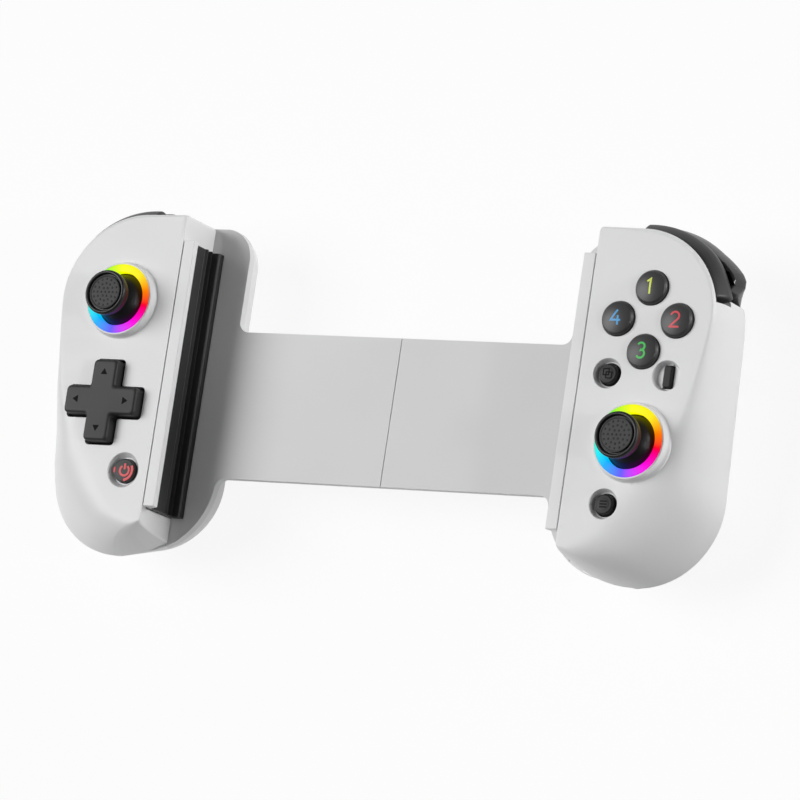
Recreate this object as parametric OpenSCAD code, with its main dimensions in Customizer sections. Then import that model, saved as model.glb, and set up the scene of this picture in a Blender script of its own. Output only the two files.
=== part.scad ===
// Telescopic game controller for a phone: two grips joined by a sliding bridge.
// X runs from the left grip to the right one, Y towards the shoulder buttons, Z out of the face.
// Z = 0 is the surface the controller lies on. Each grip is drawn on the +X side, and the left one is mirrored.

/* [Grip] */
// Distance from the middle of the bridge to the edge of each face
face_edge_x = 66.8; // [60:0.1:75]
// Height of the face above the resting surface
face_z = 35; // [33:0.5:40]
// Height of the deck that carries the phone, where the shells meet
deck_z = 18; // [17:0.5:20]
// Wall of the shells
wall = 2.2; // [1.8:0.1:2.6]
// Radius of the upper outer corner
shoulder_r = 26.9; // [26:0.1:28]
// Radius of the lower outer corner
palm_r = 24.5; // [23:0.1:26]
// Distance from the face edge to the middle of the upper corner
shoulder_in = 13.2; // [12:0.1:15]
// Height of the upper corner's middle above the rail's middle
shoulder_y = 20; // [18:0.5:21]
// Width of the soft slope from the outer side to the face
shoulder_slope = 1.9; // [1.5:0.1:3]

/* [Phone clamp] */
// Length of the lip that holds the phone
lip_l = 78.7; // [60:0.1:82]
// How far the lip reaches over the phone
lip_reach = 3.25; // [2:0.05:4]
// Thickness of the lip
lip_t = 2.1; // [1.6:0.1:2.6]
// Dark gap between the lip and the face
lip_gap = 0.65; // [0.4:0.05:1]
// Thickness of the rail's upright web
web_t = 1.8; // [1.4:0.1:2]
// How far the rubber ledge reaches in under the phone
ledge_reach = 3.2; // [2:0.1:4]

/* [Bridge] */
// Width of the bridge
bridge_w = 43.2; // [40:0.2:46]
// Distance of the bridge's middle below the rail's middle
bridge_drop = 5; // [4:0.5:6]
// Edge of the deck plate
deck_t = 2.5; // [2.2:0.1:3]
// Whole depth of the bridge
bridge_t = 6.7; // [6.5:0.1:7.5]
// Distance from the middle of the bridge to the edge of each wing
wing_x = 54; // [50:0.5:58]
// Corner radius where the bridge meets a wing
wing_fillet = 3; // [1:0.5:4]
// Width of the slider plate
slider_w = 35.4; // [34:0.2:36]
// Thickness of the slider plate
slider_t = 3.6; // [3.4:0.1:3.7]
// How far the right grip pulls out
pull_out = 60; // [40:1:64]

/* [Sticks] */
// Diameter of the stick caps
cap_d = 13.1; // [11:0.1:14]
// Height of the stick caps over the face
cap_rise = 10.5; // [10:0.1:12]
// Depth of the stick pivot under the face
pivot_depth = 3; // [2.8:0.1:3.2]
// Radius of the dome under the cap
dome_r = 8.3; // [8:0.05:8.4]
// Outer diameter of the light rings
ring_d = 20.4; // [20:0.1:22]
// Inner diameter of the light rings
ring_bore_d = 15.8; // [15.6:0.1:16.4]
// Height of the light rings over the face
ring_rise = 2.5; // [2:0.1:2.6]
// Travel of the stick's click
click_travel = 0.45; // [0.3:0.05:0.5]

/* [Direction pad] */
// Span of the cross at its top
cross_span = 22.2; // [20:0.1:23]
// Width of the arms at their top
arm_w = 6.5; // [6:0.1:7]
// Height of the cross over the face
cross_rise = 3.1; // [3:0.1:4.2]
// How far each side of the cross leans out towards its foot
cross_draft = 1; // [0.6:0.1:1.2]

/* [Buttons] */
// Diameter of the face buttons
button_d = 9.6; // [8.5:0.1:10]
// Distance of each face button from the middle of the four
button_pitch = 9; // [8.8:0.1:9.6]
// Height of the face buttons over the face
button_rise = 2; // [1.8:0.1:2.5]
// Diameter of the small buttons
small_d = 6.3; // [5.5:0.1:6.6]
// Diameter of the small buttons' wells at the face
well_d = 8.5; // [8:0.1:9]
// Diameter of the power button
power_d = 7.5; // [6.5:0.1:8]
// Diameter of the power button's well at the face
power_well_d = 10.2; // [9.5:0.1:11]
// Depth of the small buttons' tops under the face
small_sink = 0.7; // [0.3:0.1:1]
// Width of the narrow mode key
key_w = 2.7; // [2.2:0.1:3.2]
// Travel of the face buttons
button_travel = 1.5; // [1:0.1:1.6]

/* [Shoulder keys] */
// Outer radius of the bumpers, about the upper corner's middle
bumper_r = 28.5; // [27.8:0.1:29]
// Outer radius of the triggers, about the upper corner's middle
trigger_r = 30; // [29:0.1:31]
// Thickness of the bumpers and triggers
key_t = 4.2; // [3.8:0.1:4.6]
// Radius of the pins they turn on
key_pin_r = 1; // [0.8:0.05:1.2]

/* [Fits] */
// Gap between a pin and its bore, on the radius
pin_fit = 0.05; // [0.02:0.01:0.08]
// Gap round a button in its hole
button_fit = 0.2; // [0.15:0.05:0.25]
// Gap round the slider
slide_fit = 0.15; // [0.1:0.05:0.2]
// Gap between neighbouring moving parts
part_gap = 0.4; // [0.3:0.05:0.5]

/* [Hidden] */

// Smoothness of turned shapes, and the number of sides of the shells
$fn = 64;
shell_sides = 60;
cavity_sides = 40;
eps = 0.01;

// Places of the parts on the face, measured from the face edge and the rail's middle
left_stick = [face_edge_x + 17.26, 20.76];
right_stick = [face_edge_x + 18.97, -13.81];
dpad = [face_edge_x + 17.7, -9.4];
power = [face_edge_x + 8.2, -29];
face_buttons = [face_edge_x + 18.56, 20.75];
button_places = [for (a = [90, 180, 0, 270]) face_buttons + button_pitch * [cos(a), sin(a)]];
view = [face_edge_x + 8.4, 5.3];
mode = [face_edge_x + 26.4, 5.3];
menu = [face_edge_x + 12.7, -31.2];

// Outlines are hulls of discs, each written as [x, y, radius], with a fourth value of 1 for the outer half alone
half = 1;
corner_r = 1;
shoulder_x = face_edge_x + shoulder_in;
palm_x = face_edge_x + 16.9;
palm_y = -26.5;
inner_top_y = 46;
inner_low_y = -45.8;
corner_x = face_edge_x + corner_r;
shell_outline = [
    [corner_x, inner_top_y, corner_r],
    [shoulder_x, shoulder_y, shoulder_r, half],
    [palm_x, palm_y, palm_r, half],
    [corner_x + 10.2, palm_y - 3.5, palm_r - 4.3, half],
    [corner_x, inner_low_y, corner_r]
];
face_r = shoulder_r - shoulder_slope;
face_outline = [
    [corner_x, inner_top_y - 0.8, corner_r],
    [shoulder_x - 0.5, shoulder_y + 0.5, face_r, half],
    [shoulder_x - 0.5, shoulder_y - 22, face_r, half],
    [palm_x - 3.7, palm_y + 12.5, 0.74 * face_r, half],
    [corner_x + 10.2, palm_y + 2.5, 0.52 * face_r, half],
    [corner_x + 5.2, palm_y - 8, 0.28 * face_r, half],
    [corner_x, inner_low_y + 3.6, corner_r]
];
wing_top_r = 9.2;
wing_low_r = 22.3;
wing_outline = [
    [wing_x + wing_top_r, inner_top_y + corner_r - wing_top_r, wing_top_r],
    [shoulder_x, shoulder_y, shoulder_r, half],
    [palm_x, palm_y, palm_r, half],
    [wing_x + wing_low_r, palm_y - 0.5, wing_low_r]
];

// How the wall turns into the face: tightly round the shoulder, softly round the palm
shoulder_turn = 30;
palm_turn = 1.1;
palm_share = 0.4;
shoulder_share = 1;
turn_shape = 0.6;
front_rings = 9;
crease_share = 0.98;
crease_in = 1;

// How the back leans in to its flat: straight from the outer side, rounded from the bridge side
back_in = 13.5;
back_outer_turn = 1;
back_inner_turn = 2;
back_rings = 8;

// Small pads that the back rests on
rest_h = 0.4;
rest_r = 1.8;
rest_places = [[shoulder_x + 2, shoulder_y + 6], [palm_x - 2, palm_y - 2.5]];

// The part stands with the middle of its outline over the origin
top_y = shoulder_y + trigger_r;
bottom_y = palm_y - palm_r;
shift_y = -(top_y + bottom_y) / 2;

// Bridge
bridge_y = -bridge_drop;
bridge_low = deck_z - bridge_t;
tray_in = 1.6;
skin = 1.4;
slider_top = deck_z - skin - slide_fit;
slider_low = slider_top - slider_t;
channel_w = slider_w + 2 * slide_fit;
channel_low = slider_low - slide_fit;
end_wall = 0.9;
slider_end_gap = 0.6;
slider_engaged = 33;
slider_left = -(pull_out + slider_engaged);
chassis_x = slider_end_gap + end_wall - slider_left;
slider_right = 52;
pocket_top = slider_top - 0.9;
spring_y = 11;
spring_d = 2.2;
spring_post_x = chassis_x - 4.5;
spring_end_x = 52.3;
spring_slot_w = 3.4;
cable_w = 8;
cable_t = 0.3;
cable_slot_w = cable_w + 1;
cable_slot_x = 4;
slider_screw_x = [14, 44];
slider_screw_y = 8;
slider_screw_r = 0.9;

// Clamp rail
lip_back_x = face_edge_x - lip_gap;
lip_front_x = lip_back_x - lip_reach;
web_x = lip_back_x + 0.05;
web_top = face_z - wall - 0.05;
rail_clear = 0.1;
seat_drop = 0.2;
seat_x = lip_front_x - rail_clear;
seat_z = deck_z - seat_drop;

top_boss_y = inner_top_y - 10;

// Screws through the rear shell: [x, y, top of the front boss]
boss_places = [
    [face_edge_x + 5.5, top_boss_y, face_z - wall + 0.4],
    [face_edge_x + 5.2, -40, face_z - 3],
    [palm_x + 14.3, -32, face_z - 10],
    [palm_x + 14.8, 12, face_z - wall + 0.4]
];
front_boss_r = 2.6;
rear_boss_r = 3.8;
screw_r = 1;
screw_head_r = 2.2;
screw_head_t = 1.6;
screw_seat_z = 8.5;
screw_l = 15;

// Boards and what stands on them
board_low = deck_z + 2.5;
board_t = 1.6;
board_top = board_low + board_t;
peg_r = 1.8;
peg_in = 7;
peg_end = 3.5;
peg_top_y = 10;
peg_low_y = -22;
peg_places = [for (x = [face_edge_x + peg_in, chassis_x - peg_end], y = [peg_top_y, peg_low_y]) [x, y]];
board_points = [for (p = [
    [3.2, top_boss_y - 4], [3.2, -36], [10.2, -36], [10.2, -43], [23.2, -43], [28.2, -40], [28.2, 22], [30.2, 27],
    [27.2, 34], [21.2, 37.5], [13.2, 39], [8.7, 38], [8.7, top_boss_y - 4]
]) [face_edge_x + p.x, p.y]];

// Battery in the left grip
battery_in = 5.4;
battery_low_y = -24;
battery_w = 19;
battery_l = 33;
battery_gap = 0.6;

// Sticks
pivot_z = face_z - pivot_depth;
cap_top = face_z + cap_rise;
dome_t = 0.9;
dome_low = pivot_z + 1.5;
yoke_r = 4.2;
yoke_bore_r = 2.7;
yoke_h = 2;
yoke_pin_r = 0.75;
ear_in = 4.7;
ear_t = 1.2;
ear_w = 3.4;
shaft_r = 1.6;
cross_pin_r = 0.6;
carrier_r = 6.2;
carrier_low = board_top + 4.4;
carrier_t = 1.5;
housing_w = 14.5;
housing_top = carrier_low + 2.5;
housing_floor = 2;
ring_low = face_z + 0.2;
collar_t = 0.6;
collar_rise = ring_rise - 0.1;

// Direction pad
dpad_pivot_z = face_z - 4;
cross_foot_z = face_z - 1.8;
cross_fit = 0.6;
rocker_r = 3.4;
rocker_bore_r = 2.1;
rocker_h = 1.6;
rocker_pin_r = 0.6;
rocker_ear_in = 3.8;
rocker_ear_t = 1.2;
dome_pad_reach = 8.5;
bracket_l = 2 * (rocker_ear_in + rocker_ear_t);
bracket_w = 6.4;

// Buttons
button_flange = 0.8;
flange_t = 1.4;
flange_gap = 0.2;
face_low = face_z - wall;
flange_top = face_low - flange_gap;
flange_low = flange_top - flange_t;
well_depth = 2;
well_floor_t = 1.4;
well_ledge = 0.4;
well_wall = 0.65;
well_low = face_z - well_depth - well_floor_t;
small_travel = 1;
small_flange = 1;
small_flange_t = 1.1;
small_low = well_low - flange_gap - small_flange_t;

// Shoulder keys
key_pivot = [shoulder_x + 1.5, shoulder_y + 22.5];
key_ear_r = 2.4;
post_h = 2;
post_rib_t = 3;
pin_depth = 1.5;
eye_step = 0.3;
coil_r = 2;
coil_h = 2.3;
trigger_in = trigger_r - key_t - 2.2;
bay_r = trigger_in - part_gap;
bay_low = deck_z - 5.6;
bay_top = face_z - 1.1;
key_split = deck_z + 8.8;
key_start = 92.5;
bumper_end = 18.5;
trigger_end = 36;
trigger_lean = 5.8;
trigger_tuck = 1.4;
trigger_swing = 4;
flare_r = trigger_r + 1.2;
bumper_bay_end = 15;
trigger_bay_end = 18.5;
trigger_low = bay_low + part_gap;
trigger_top = key_split - part_gap / 2;
bumper_low = key_split + part_gap / 2;
bumper_top = bay_top - part_gap;

// Charging socket
socket_w = 9;
socket_h = 3.2;
socket_l = 7.3;
socket_x = face_edge_x + wall + socket_w / 2 + 0.2;
socket_z = deck_z + 7.6;
socket_fit = 0.15;
tongue_w = 6.4;
tongue_t = 0.7;

// Colours
white = [0.86, 0.86, 0.86];
pale = [0.8, 0.8, 0.8];
black = [0.1, 0.1, 0.1];
charcoal = [0.22, 0.22, 0.22];
steel = [0.7, 0.7, 0.72];
board_green = [0.1, 0.35, 0.2];

// The point of a disc, or of its outer half, that lies furthest the given way
function disc_point(c, way) =
    c[3] == half && way.x < 0 ? [c[0], c[1] + c[2] * sign(way.y)] : [c[0] + c[2] * way.x, c[1] + c[2] * way.y];

// The point of a hull of discs that lies furthest the given way
function hull_point(circles, angle) =
    let (way = [cos(angle), sin(angle)])
    let (points = [for (c = circles) disc_point(c, way)])
    let (reach = [for (p = points) p * way])
    points[search(max(reach), reach)[0]];

function outline(circles, sides) = [for (i = [0:sides - 1]) hull_point(circles, 360 * (i + 0.5) / sides)];

// Circles drawn in by a distance, with tight corners moved instead of vanishing
function drawn_in(circles, by, least = 0.4) =
    let (mid_x = max([for (c = circles) c[0]]))
    [for (c = circles)
        let (move = max(0, by + least - c[2]))
        [c[0] + (c[0] < mid_x ? move : 0), c[1] - sign(c[1]) * move, max(c[2] - by, least), c[3]]];

function eased(t) = let (u = min(1, max(0, t))) u * u * (3 - 2 * u);

// How far a turn has moved in, from its rise and its sharpness
function turn_share(rise, turn) = 1 - pow(1 - pow(rise, turn), turn_shape);

// Sharpness of the front turn, a share of the way up the outer side from the foot of the palm
function front_turn(share) =
    palm_turn * pow(shoulder_turn / palm_turn, eased((share - palm_share) / (shoulder_share - palm_share)));

// Sharpness of the back's turn on the side that faces the given way
function back_turn(angle) =
    let (way = angle > 180 ? 360 - angle : angle)
    back_outer_turn + (back_inner_turn - back_outer_turn) * eased((way - 60) / 60);

// Distances along a row of points, and the same row with its points spread evenly
function distances(p) =
    [for (i = 0, d = 0; i < len(p); d = d + (i + 1 < len(p) ? norm(p[i + 1] - p[i]) : 0), i = i + 1) d];
function spread(p, count) =
    let (d = distances(p))
    let (xs = [for (i = [0:len(p) - 1]) [d[i], p[i].x]])
    let (ys = [for (i = [0:len(p) - 1]) [d[i], p[i].y]])
    [for (k = [0:count - 1]) let (t = d[len(p) - 1] * k / (count - 1)) [lookup(t, xs), lookup(t, ys)]];

// An outline whose outer side, from the foot of the palm to the top of the shoulder, is divided evenly
function outer_count(sides) = floor(sides * 2 / 3);
function wrapped(circles, sides) =
    let (outer = outer_count(sides))
    let (inner = sides - outer)
    concat(
        spread([for (a = [-90:2:90]) hull_point(circles, a)], outer),
        [for (i = [0:inner - 1]) hull_point(circles, 90 + 180 * (i + 0.5) / inner)]
    );
function outer_share(i, sides) =
    let (outer = outer_count(sides))
    i < outer ? i / (outer - 1) : i < (outer + sides) / 2 ? 1 : 0;

function ring_between(a, b, share, z) =
    [for (i = [0:len(a) - 1]) [a[i].x + (b[i].x - a[i].x) * share, a[i].y + (b[i].y - a[i].y) * share, z]];

// A closed skin through rings of points, listed from the lowest to the highest
module skinned(rings) {
    n = len(rings[0]);
    last = len(rings) - 1;
    sides = [for (k = [0:last - 1], i = [0:n - 1])
        let (a = k * n + i, b = k * n + (i + 1) % n)
        each [[a, a + n, b + n], [a, b + n, b]]];
    foot = [[for (i = [0:n - 1]) i]];
    crown = [[for (i = [n - 1:-1:0]) last * n + i]];
    polyhedron(points = [for (r = rings) each r], faces = concat(sides, foot, crown));
}

module on_left() {
    mirror([1, 0, 0]) children();
}

module placed() {
    translate([0, shift_y, 0]) children();
}

module at(place, z = 0) {
    translate([place.x, place.y, z]) children();
}

// Outer form of the front shell, from the deck up to the face
module front_form() {
    rim = wrapped(shell_outline, shell_sides);
    crease = wrapped(face_outline, shell_sides);
    flat = wrapped(drawn_in(face_outline, crease_in), shell_sides);
    inner = [for (i = [0:shell_sides - 1]) [crease[i].x < corner_x ? crease[i].x : flat[i].x, flat[i].y]];
    depth = (face_z - deck_z) * crease_share;
    rings = [for (k = [0:front_rings])
        let (rise = sin(90 * k / front_rings))
        [for (i = [0:shell_sides - 1])
            let (share = turn_share(rise, front_turn(outer_share(i, shell_sides))))
            let (p = rim[i] + (crease[i] - rim[i]) * share)
            [p.x, p.y, deck_z + depth * rise]]];
    skinned(concat(rings, [ring_between(inner, inner, 0, face_z)]));
}

// Hollow of the front shell
module front_hollow() {
    rim = wrapped(drawn_in(shell_outline, wall), cavity_sides);
    top = wrapped(drawn_in(face_outline, wall), cavity_sides);
    depth = face_low - deck_z;
    skinned([
        ring_between(rim, top, 0, deck_z - 1),
        ring_between(rim, top, 0.25, deck_z + depth * 0.4),
        ring_between(rim, top, 0.58, deck_z + depth * 0.8),
        ring_between(rim, top, 1, face_low)
    ]);
}

// Rings of the rear shell, from a floor up to the deck
function rear_rings(circles, floor_z, sides) =
    let (rim = outline(circles, sides))
    let (flat = outline(drawn_in(circles, back_in), sides))
    [for (k = [back_rings:-1:0])
        let (t = sin(90 * k / back_rings))
        [for (i = [0:sides - 1])
            let (share = turn_share(t, back_turn(360 * (i + 0.5) / sides)))
            let (p = rim[i] + (flat[i] - rim[i]) * share)
            [p.x, p.y, deck_z - (deck_z - floor_z) * t]]];

module rear_form() {
    skinned(rear_rings(wing_outline, rest_h, shell_sides));
}

// Middle of the rear shell's wall, where its posts end
module rear_core() {
    skinned(rear_rings(drawn_in(wing_outline, wall / 2), rest_h + wall / 2, shell_sides));
}

// Hollow of the rear shell, open at the deck
module rear_hollow() {
    rings = rear_rings(drawn_in(wing_outline, wall), rest_h + wall, cavity_sides);
    rim = rings[len(rings) - 1];
    skinned(concat(rings, [ring_between(rim, rim, 0, deck_z + 1)]));
}

// Bay that the bumper and the trigger turn in, open to the outside
module key_bay(end_angle, z_low, z_high, inner_r) {
    far = 60;
    translate([shoulder_x, shoulder_y, z_low])
        difference() {
            linear_extrude(z_high - z_low)
                polygon([[0, 0], far * [cos(end_angle), sin(end_angle)], [far, far], far * [cos(94), sin(94)]]);
            translate([0, 0, -1]) cylinder(r = inner_r, h = z_high - z_low + 2);
        }
}

module key_bays(inner_r) {
    key_bay(trigger_bay_end, bay_low, key_split, inner_r);
    key_bay(bumper_bay_end, key_split - eps, bay_top, inner_r);
}

// Front shell with its bosses, before the holes of each side
module front_shell() {
    difference() {
        union() {
            difference() {
                front_form();
                front_hollow();
            }
            for (b = boss_places) at(b, deck_z) cylinder(r = front_boss_r, h = b[2] - deck_z, $fn = 32);
            children(0);
        }
        for (b = boss_places) at(b, deck_z - 1) cylinder(r = screw_r + pin_fit, h = screw_l - 4, $fn = 32);
        translate([face_edge_x - 1, -lip_l / 2 - rail_clear, deck_z - 1])
            cube([wall + 1.5, lip_l + 2 * rail_clear, face_low - deck_z + 1]);
        key_bays(bay_r);
        children(1);
    }
}

module stick_collar(place) {
    at(place, face_low + 0.5) cylinder(r = ring_d / 2 + collar_t, h = wall - 0.5 + collar_rise);
}

module stick_hole(place) {
    at(place, face_low - 1) cylinder(r = dome_r + 0.6, h = wall + 4);
    at(place, ring_low) cylinder(r = ring_d / 2 + pin_fit, h = 4);
}

module well_boss(place, d) {
    at(place, well_low) cylinder(d = d + 2 * well_wall, h = face_low - well_low + 0.1);
}

module well(place, d, floor_d) {
    at(place, face_z - well_depth) cylinder(d1 = floor_d, d2 = d, h = well_depth);
    at(place, face_z - eps) cylinder(d = d, h = 1);
}

module round_hole(place, d) {
    at(place, well_low - 1) cylinder(d = d + 2 * button_fit, h = wall + well_floor_t + 2);
}

// The cross seen from above, as a thickness of constant section
module cross_prism(span, w, h) {
    translate([-span / 2, -w / 2, 0]) cube([span, w, h]);
    translate([-w / 2, -span / 2, 0]) cube([w, span, h]);
}

module left_front_shell() {
    color(white) on_left() front_shell() {
        union() {
            stick_collar(left_stick);
            well_boss(power, power_d + 2 * well_ledge);
        }
        union() {
            stick_hole(left_stick);
            at(dpad, face_low - 1)
                cross_prism(cross_span + 2 * (cross_draft + cross_fit), arm_w + 2 * (cross_draft + cross_fit), wall + 2);
            well(power, power_well_d, power_d + 2 * well_ledge);
            round_hole(power, power_d);
        }
    }
}

module right_front_shell() {
    color(white) front_shell() {
        union() {
            stick_collar(right_stick);
            for (p = [view, mode, menu]) well_boss(p, small_d + 2 * well_ledge);
        }
        union() {
            stick_hole(right_stick);
            for (p = button_places) at(p, face_low - 1) cylinder(d = button_d + 2 * button_fit, h = wall + 2);
            for (p = [view, mode, menu]) well(p, well_d, small_d + 2 * well_ledge);
            for (p = [view, menu]) round_hole(p, small_d);
            at(mode, well_low - 1)
                translate([-key_w / 2 - button_fit, -small_d / 2 - button_fit, 0])
                    cube([key_w + 2 * button_fit, small_d + 2 * button_fit, wall + well_floor_t + 2]);
            socket_hole();
        }
    }
}

module socket_body(grow) {
    w = socket_w + 2 * grow;
    h = socket_h + 2 * grow;
    translate([socket_x, inner_top_y + corner_r - socket_l, socket_z])
        rotate([-90, 0, 0]) {
            translate([-(w - h) / 2, -h / 2, 0]) cube([w - h, h, socket_l]);
            for (s = [-1, 1]) translate([s * (w - h) / 2, 0, 0]) cylinder(d = h, h = socket_l);
        }
}

module socket_hole() {
    translate([0, 2, 0]) socket_body(socket_fit);
}

// Rear shell with its screw posts, the step for the deck and the notch for the tray
module rear_shell() {
    difference() {
        union() {
            difference() {
                rear_form();
                rear_hollow();
            }
            intersection() {
                rear_core();
                union() {
                    for (b = boss_places) at(b) cylinder(r = rear_boss_r, h = deck_z, $fn = 32);
                    at(key_pivot, bay_low - post_h) cylinder(r = key_ear_r, h = post_h);
                    at(key_pivot, bay_low - post_h)
                        translate([-post_rib_t / 2, 0, 0]) cube([post_rib_t, shoulder_r, post_h]);
                }
            }
            for (p = rest_places) at(p) cylinder(r1 = rest_r / 3, r2 = rest_r, h = rest_h + wall / 2, $fn = 24);
        }
        for (b = boss_places) {
            at(b, -1) cylinder(r = screw_head_r + 0.3, h = screw_seat_z + 1, $fn = 32);
            at(b, 0) cylinder(r = screw_r + 0.15, h = deck_z + 1, $fn = 32);
        }
        translate([0, -100, deck_z - deck_t]) cube([face_edge_x + 0.8, 200, deck_t + 1]);
        translate([wing_x - 5, bridge_y - bridge_w / 2 + tray_in - slide_fit, bridge_low - slide_fit])
            cube([12, bridge_w - 2 * tray_in + 2 * slide_fit, bridge_t]);
        at(key_pivot, bay_low - pin_depth) cylinder(r = key_pin_r, h = 10);
        key_bays(bay_r - trigger_swing);
    }
}

module left_rear_shell() {
    color(white) on_left() rear_shell();
}

module right_rear_shell() {
    color(white) rear_shell();
}

// An outline in X and Z drawn along the rail
module along_rail(points, length) {
    translate([0, length / 2, 0]) rotate([90, 0, 0]) linear_extrude(length) polygon(points);
}

module clamp_rail() {
    lip_low = face_z - lip_t;
    along_rail([
        [lip_front_x, face_z], [lip_back_x, face_z], [lip_back_x, web_top], [web_x + web_t, web_top],
        [web_x + web_t, seat_z], [web_x, seat_z], [web_x, lip_low - 2], [lip_front_x + 1.5, lip_low - 1.2],
        [lip_front_x, lip_low]
    ], lip_l);
}

module left_clamp_rail() {
    color(white) on_left() clamp_rail();
}

module right_clamp_rail() {
    color(white) clamp_rail();
}

module rubber_pad() {
    ledge_x = web_x - ledge_reach;
    along_rail([
        [web_x, seat_z], [ledge_x, seat_z], [ledge_x, deck_z + 0.9], [web_x - 0.5, deck_z + 1.2],
        [web_x - 0.5, deck_z + 3.4], [web_x - 1.5, deck_z + 3.9], [web_x - 1.5, deck_z + 4.5],
        [web_x - 1.2, deck_z + 4.9], [web_x - 1.2, face_z - lip_t - 2.3], [web_x, face_z - lip_t - 2.3]
    ], lip_l - 0.4);
}

module left_rubber_pad() {
    color(black) on_left() rubber_pad();
}

module right_rubber_pad() {
    color(black) rubber_pad();
}

module wing_corner(y, way) {
    translate([wing_x - wing_fillet, y, deck_z - deck_t])
        difference() {
            translate([0, way > 0 ? 0 : -wing_fillet, 0]) cube([wing_fillet + 1, wing_fillet, deck_t]);
            translate([0, way * wing_fillet, -1]) cylinder(r = wing_fillet, h = deck_t + 2);
        }
}

module channel(x_end) {
    translate([-1, bridge_y - channel_w / 2, channel_low]) cube([x_end + 1, channel_w, slider_t + 2 * slide_fit]);
}

// Wing and half of the bridge, with pegs inside the grip for the board
module deck(channel_end) {
    difference() {
        union() {
            intersection() {
                translate([0, 0, deck_z - deck_t]) linear_extrude(deck_t) polygon(outline(wing_outline, shell_sides));
                translate([0, -100, 0]) cube([face_edge_x + 0.7, 200, deck_z + 1]);
            }
            translate([0, bridge_y - bridge_w / 2, deck_z - deck_t]) cube([chassis_x, bridge_w, deck_t]);
            wing_corner(bridge_y + bridge_w / 2, 1);
            wing_corner(bridge_y - bridge_w / 2, -1);
        }
        translate([seat_x, -100, seat_z]) cube([100, 200, seat_drop + 1]);
        channel(channel_end);
    }
    for (p = peg_places) at(p, seat_z - eps) cylinder(r = peg_r, h = board_low - seat_z + eps, $fn = 32);
}

module left_deck() {
    color(pale) on_left() deck(chassis_x - end_wall);
}

module right_deck() {
    color(pale) deck(slider_right + slide_fit);
}

module tray(channel_end) {
    difference() {
        translate([0, bridge_y - bridge_w / 2 + tray_in, bridge_low])
            cube([chassis_x, bridge_w - 2 * tray_in, bridge_t - deck_t]);
        channel(channel_end);
    }
}

module left_tray() {
    color(pale) on_left() {
        tray(chassis_x - end_wall);
        for (s = [-1, 1])
            translate([spring_post_x, bridge_y + s * spring_y, channel_low - eps])
                cylinder(r = 0.8, h = pocket_top - channel_low - 0.3, $fn = 32);
    }
}

module slider_screw_places() {
    for (x = slider_screw_x, s = [-1, 1]) translate([x, bridge_y + s * slider_screw_y, 0]) children();
}

module right_tray() {
    color(pale) difference() {
        tray(slider_right + slide_fit);
        slider_screw_places() {
            translate([0, 0, bridge_low - 1]) cylinder(r = slider_screw_r + 0.1, h = 4, $fn = 32);
            translate([0, 0, bridge_low - 1]) cylinder(r = 1.9, h = 1.8, $fn = 32);
        }
    }
}

// Plate that joins the grips, with pockets underneath for the springs and the cable
module slider_plate() {
    color(steel) difference() {
        translate([slider_left, bridge_y - slider_w / 2, slider_low])
            cube([slider_right - slider_left, slider_w, slider_t]);
        for (s = [-1, 1])
            translate([slider_left - 1, bridge_y + s * spring_y - spring_slot_w / 2, slider_low - 1])
                cube([-slider_left + 1 - spring_end_x + 0.8, spring_slot_w, pocket_top - slider_low + 1]);
        translate([slider_left - 1, bridge_y - cable_slot_w / 2, slider_low - 1])
            cube([-slider_left + 1 - cable_slot_x, cable_slot_w, pocket_top - slider_low + 1]);
        slider_screw_places()
            translate([0, 0, slider_low - 1]) cylinder(r = slider_screw_r + 0.05, h = slider_t, $fn = 32);
    }
}

module slider_screws() {
    color(steel) slider_screw_places() {
        translate([0, 0, bridge_low]) cylinder(r = 1.7, h = 0.8, $fn = 32);
        translate([0, 0, bridge_low]) cylinder(r = slider_screw_r, h = 4, $fn = 32);
    }
}

// Two tension springs that pull the grips together
module bridge_springs() {
    color(steel) for (s = [-1, 1])
        translate([-spring_post_x + 1.2, bridge_y + s * spring_y, slider_low + 1.35])
            rotate([0, 90, 0]) difference() {
                cylinder(d = spring_d, h = spring_post_x - 1.2 - spring_end_x);
                translate([0, 0, -1]) cylinder(d = spring_d - 0.8, h = spring_post_x);
            }
}

// Flat cable that folds back on itself inside the slider
module flex_cable() {
    fold_x = -cable_slot_x - 3;
    fold_r = 1;
    low = channel_low + 0.15;
    color(charcoal) translate([0, bridge_y - cable_w / 2, 0]) {
        translate([-60, 0, low]) cube([fold_x + 60, cable_w, cable_t]);
        translate([-46, 0, low + 2 * fold_r - cable_t]) cube([fold_x + 46, cable_w, cable_t]);
        translate([fold_x, 0, low + fold_r]) rotate([-90, 0, 0]) difference() {
            cylinder(r = fold_r, h = cable_w);
            translate([0, 0, -1]) cylinder(r = fold_r - cable_t, h = cable_w + 2);
            translate([-2 * fold_r, -2 * fold_r, -1]) cube([2 * fold_r, 4 * fold_r, cable_w + 2]);
        }
    }
}

module circuit_board() {
    translate([0, 0, board_low]) linear_extrude(board_t) polygon(board_points);
}

module left_circuit_board() {
    color(board_green) on_left() circuit_board();
}

module right_circuit_board() {
    color(board_green) circuit_board();
}

module battery() {
    color(steel) on_left()
        translate([face_edge_x + battery_in, battery_low_y, rest_h + wall])
            cube([battery_w, battery_l, bridge_low - rest_h - wall - battery_gap]);
}

module light_ring(place) {
    at(place, ring_low) difference() {
        cylinder(d = ring_d, h = face_z + ring_rise - ring_low);
        translate([0, 0, -1]) cylinder(d = ring_bore_d, h = ring_rise + 2);
    }
}

module left_light_ring() {
    color([0.9, 0.5, 0.9]) on_left() light_ring(left_stick);
}

module right_light_ring() {
    color([0.9, 0.5, 0.9]) light_ring(right_stick);
}

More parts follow.
